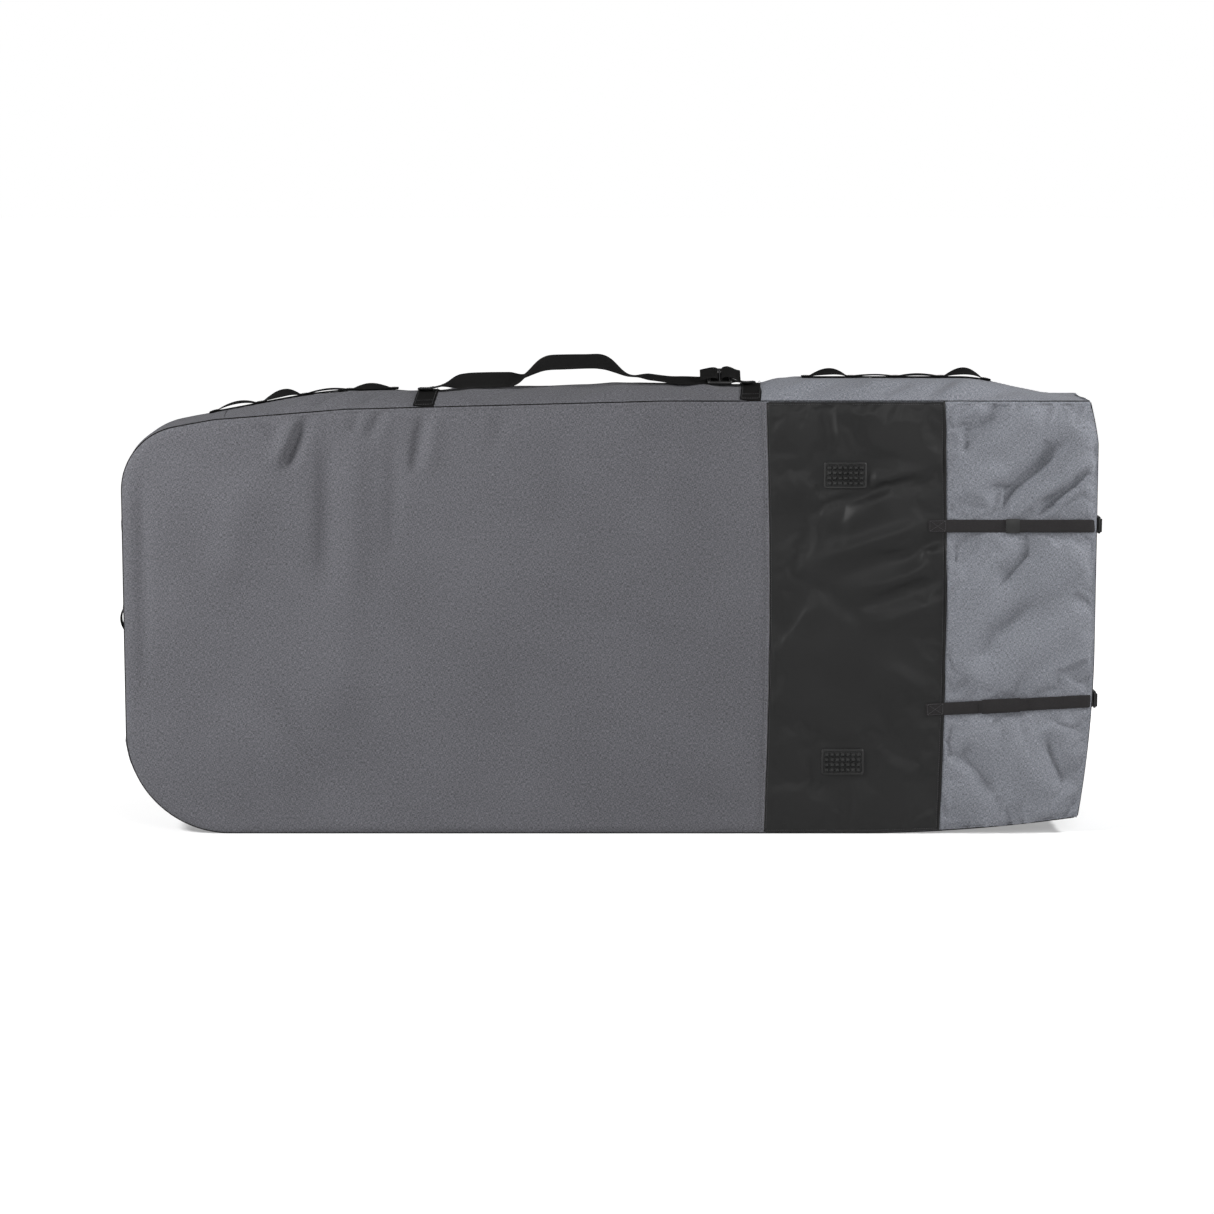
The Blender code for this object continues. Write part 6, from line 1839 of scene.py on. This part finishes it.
class BAG_OT_inside(bpy.types.Operator):
    """Two board straps with buckles on the lining"""
    bl_idname = "bag.inside"
    bl_label = "Board straps"

    def execute(self, context):
        for name in ("nose", "tail"):
            low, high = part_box("board_strap_" + name)
            b_low, b_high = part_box("board_buckle_" + name)
            middle, centre = (low + high) / 2, (b_low + b_high) / 2
            z = np.linspace(low.z, high.z, 110)
            surface = -(FACE_Y - sizes().cloth - sizes().foam - sizes().lining - 0.0011)
            near = np.minimum(smooth((z - low.z) / 0.05), smooth((high.z - z) / 0.05))
            at_buckle = np.exp(-((z - centre.z) / 0.05) ** 2)
            off_lining = 0.0008 + near * (0.0020 + 0.0026 * at_buckle)
            path = xyz(middle.x + 0.002 * ripple(z, 0.3, 97) * near, surface + off_lining, z)
            made = strap("board_strap_webbing_" + name, path, (1.0, 0.0, 0.0), STRAP_WIDTH, 0.0018,
                         finish("webbing"), 9)
            place(made, "main_shell", ("board_strap_" + name,))
            top = float(path[:, 1].max()) + 0.0034

            def on_lining(a, b, c):
                return xyz(centre.x + a, top + c, centre.z + b)

            ring = rounded_box(0.017, 0.013, 0.004)
            thick = b_high.y - b_low.y
            parts = []
            for sign in (-1.0, 1.0):
                shape = ring + np.array((0.0, sign * 0.0155))
                parts.append(lofted("buckle_shell", shape[:, 0], shape[:, 1],
                                    ((-thick / 2, 0.001), (-thick / 3, 0.0), (thick / 3, 0.0),
                                     (thick / 2, 0.0016)), on_lining, finish("plastic")))
            for side in (-1.0, 1.0):
                b = np.linspace(-0.006, 0.006, 8)
                prong = on_lining(side * (0.0135 + 0.0012 * np.cos(b * 200)), b, np.zeros(8))
                parts.append(round_bar("buckle_prong", prong, 0.0024, finish("plastic"), 10))
            for sign in (-1.0, 1.0):
                a = np.linspace(-0.013, 0.013, 10)
                rib = on_lining(a, np.full(10, sign * 0.024), np.full(10, thick / 2 - 0.0006))
                parts.append(round_bar("buckle_rib", rib, 0.0012, finish("plastic"), 8))
            made = join_pieces("board_buckle_moulding_" + name, parts)
            place(made, "main_shell", ("board_buckle_" + name,))
        return {"FINISHED"}


SEAM_INSET = 0.0062               # the outline's stitches run this far inside it


class BAG_OT_seams(bpy.types.Operator):
    """Stitches along the outline of the broad faces and the ends of the panels, and a dark cord along the front
    outline that is painted shade in the seam groove
    """
    bl_idname = "bag.seams"
    bl_label = "Seams"

    def execute(self, context):
        s = sizes()
        points, inward = ring_path(WEAR_X1, 0.004)
        # painted shade: a dark cord along the front outline and the tail's top and lower edges stands in for the
        # shadow in the seam groove
        at = points + inward * 0.0006
        front = -(FACE_Y - EDGE_DROP + 0.0012)
        shadow_line = round_bar("seam_shadow_line", xyz(at[:, 0], front, at[:, 1]), 0.00125,
                         finish("webbing"), 8)
        place(shadow_line, "main_shell")
        for name, x in (("top", np.linspace(WEAR_X1, float(tail_x(TOP_Z)), 90)),
                        ("low", np.linspace(WEAR_X1, TAIL_X - TAIL_LOW_CUT, 90))):
            level = top_z(x) - 0.0006 if name == "top" else low_z(x) + 0.0006
            shadow_line = round_bar("seam_shadow_line_tail_" + name, xyz(x, front, level), 0.0010,
                             finish("webbing"), 8)
            place(shadow_line, "main_shell", (), TO_TAIL)
        panels = (("main", NOSE_X + 0.17, NOSE_X + 0.21, WEAR_X0 - 0.006, 500, "grey_thread",
                   "heather_fabric", None),
                  ("wear", WEAR_X0 + 0.004, WEAR_X0 + 0.004, WEAR_X1 - 0.008, 200, "dark_thread",
                   "coated_fabric", None),
                  ("tail", WEAR_X1 + 0.006, WEAR_X1 + 0.006, TAIL_X - 0.030, 200, "grey_thread",
                   "light_heather_fabric", TO_TAIL))
        for name, top_from, low_from, to, count, key, slot, across in panels:
            top, low = np.linspace(top_from, to, count), np.linspace(low_from, to, count)
            rows_of = [(front_point(top, top_z(top) - SEAM_INSET), (0.0, -0.6, 0.8)),
                       (front_point(low, low_z(low) + SEAM_INSET), FRONT)]
            sewn = stitches("outline_stitches_" + name, rows_of, finish(key), s.pitch, s.thread)
            place(sewn, "main_shell", (), across)
        return {"FINISHED"}


CAMERA_AIM = (-0.0037, -0.1, 0.4227)
CAMERA_RISE = 8.0
CAMERA_FAR = 6.17
FLOOR_Z = -0.0006
# name, place, aim, size, power
STUDIO = (
    ("key_light", (-2.4, -1.6, 2.1), (-0.3, 0.0, 0.6), (0.6, 0.6), 128.0),
    ("fill_light", (0.9, -3.2, 1.9), (0.2, 0.0, 0.5), (1.2, 1.2), 34.0),
    ("side_light", (2.4, -0.5, 1.7), (0.7, 0.0, 0.55), (0.5, 0.5), 60.0),
)


class BAG_OT_stage(bpy.types.Operator):
    """Pale sweep, soft studio light and a camera in front of the broad face"""
    bl_idname = "bag.stage"
    bl_label = "Stage"

    def execute(self, context):
        scene = context.scene
        y = np.linspace(-30.0, 45.0, 26)
        x = np.linspace(-30.0, 30.0, 21)
        grid = xyz(x[None, :], y[:, None], FLOOR_Z)
        sweep = sheet("paper_floor", grid, grid - np.array((0.0, 0.0, 0.002)), finish("paper"))
        for name, at, aim, size, power in STUDIO:
            light = bpy.data.lights.new(name, "AREA")
            light.shape = "RECTANGLE"
            light.size, light.size_y = size
            light.energy = power
            lamp = bpy.data.objects.new(name, light)
            lamp.location = at
            lamp.rotation_euler = (Vector(aim) - Vector(at)).to_track_quat("-Z", "Y").to_euler()
            scene.collection.objects.link(lamp)
        world = bpy.data.worlds.new("studio")
        world.use_nodes = True
        background = world.node_tree.nodes["Background"]
        background.inputs["Color"].default_value = (1.0, 1.0, 1.0, 1.0)
        direction = world.node_tree.nodes.new("ShaderNodeTexCoord")
        parts = world.node_tree.nodes.new("ShaderNodeSeparateXYZ")
        glow = world.node_tree.nodes.new("ShaderNodeMapRange")
        world.node_tree.links.new(direction.outputs["Generated"], parts.inputs[0])
        world.node_tree.links.new(parts.outputs["Z"], glow.inputs["Value"])
        world.node_tree.links.new(glow.outputs["Result"], background.inputs["Strength"])
        for key, value in (("From Min", 0.06), ("From Max", 0.30), ("To Min", 1.0), ("To Max", 0.10)):
            glow.inputs[key].default_value = value
        scene.world = world
        aim = Vector(CAMERA_AIM)
        rise = math.radians(CAMERA_RISE)
        place_at = aim + Vector((0.0, -math.cos(rise), math.sin(rise))) * CAMERA_FAR
        lens = bpy.data.cameras.new("camera")
        lens.lens = 100.0
        camera = bpy.data.objects.new("camera", lens)
        camera.location = place_at
        camera.rotation_euler = (aim - place_at).to_track_quat("-Z", "Y").to_euler()
        scene.collection.objects.link(camera)
        scene.camera = camera
        scene.view_settings.view_transform = "Standard"
        return {"FINISHED"}


class BAG_PT_panel(bpy.types.Panel):
    """Sidebar panel that lists the bag's sizes, colours and pieces"""
    bl_idname = "BAG_PT_panel"
    bl_label = "Board bag"
    bl_space_type = "VIEW_3D"
    bl_region_type = "UI"
    bl_category = "Bag"

    def draw(self, context):
        for group in (context.scene.bag_sizes, context.scene.bag_colours):
            box = self.layout.box()
            for key in group.bl_rna.properties.keys():
                if key not in ("rna_type", "name"):
                    box.prop(group, key)
        column = self.layout.column(align=True)
        for operator in OPERATORS:
            column.operator(operator.bl_idname)


OPERATORS = (BAG_OT_front, BAG_OT_wear, BAG_OT_tail, BAG_OT_gussets, BAG_OT_lid, BAG_OT_zip, BAG_OT_bands,
             BAG_OT_handle, BAG_OT_chains, BAG_OT_straps, BAG_OT_pads, BAG_OT_inside, BAG_OT_seams, BAG_OT_stage)
CLASSES = (BAG_PG_sizes, BAG_PG_colours, *OPERATORS, BAG_PT_panel)


def register():
    """Register the add-on's classes and properties."""
    for cls in CLASSES:
        bpy.utils.register_class(cls)
    bpy.types.Scene.bag_sizes = PointerProperty(type=BAG_PG_sizes)
    bpy.types.Scene.bag_colours = PointerProperty(type=BAG_PG_colours)


def unregister():
    """Take the add-on's classes and properties away again."""
    del bpy.types.Scene.bag_colours
    del bpy.types.Scene.bag_sizes
    for cls in reversed(CLASSES):
        bpy.utils.unregister_class(cls)


def main():
    """Build every piece and the stage."""
    register()
    bpy.ops.bag.front()
    bpy.ops.bag.wear()
    bpy.ops.bag.tail()
    bpy.ops.bag.gussets()
    bpy.ops.bag.lid()
    bpy.ops.bag.zip()
    bpy.ops.bag.bands()
    bpy.ops.bag.handle()
    bpy.ops.bag.chains()
    bpy.ops.bag.straps()
    bpy.ops.bag.pads()
    bpy.ops.bag.inside()
    bpy.ops.bag.seams()
    bpy.ops.bag.stage()
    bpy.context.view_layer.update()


if __name__ == "__main__":
    main()
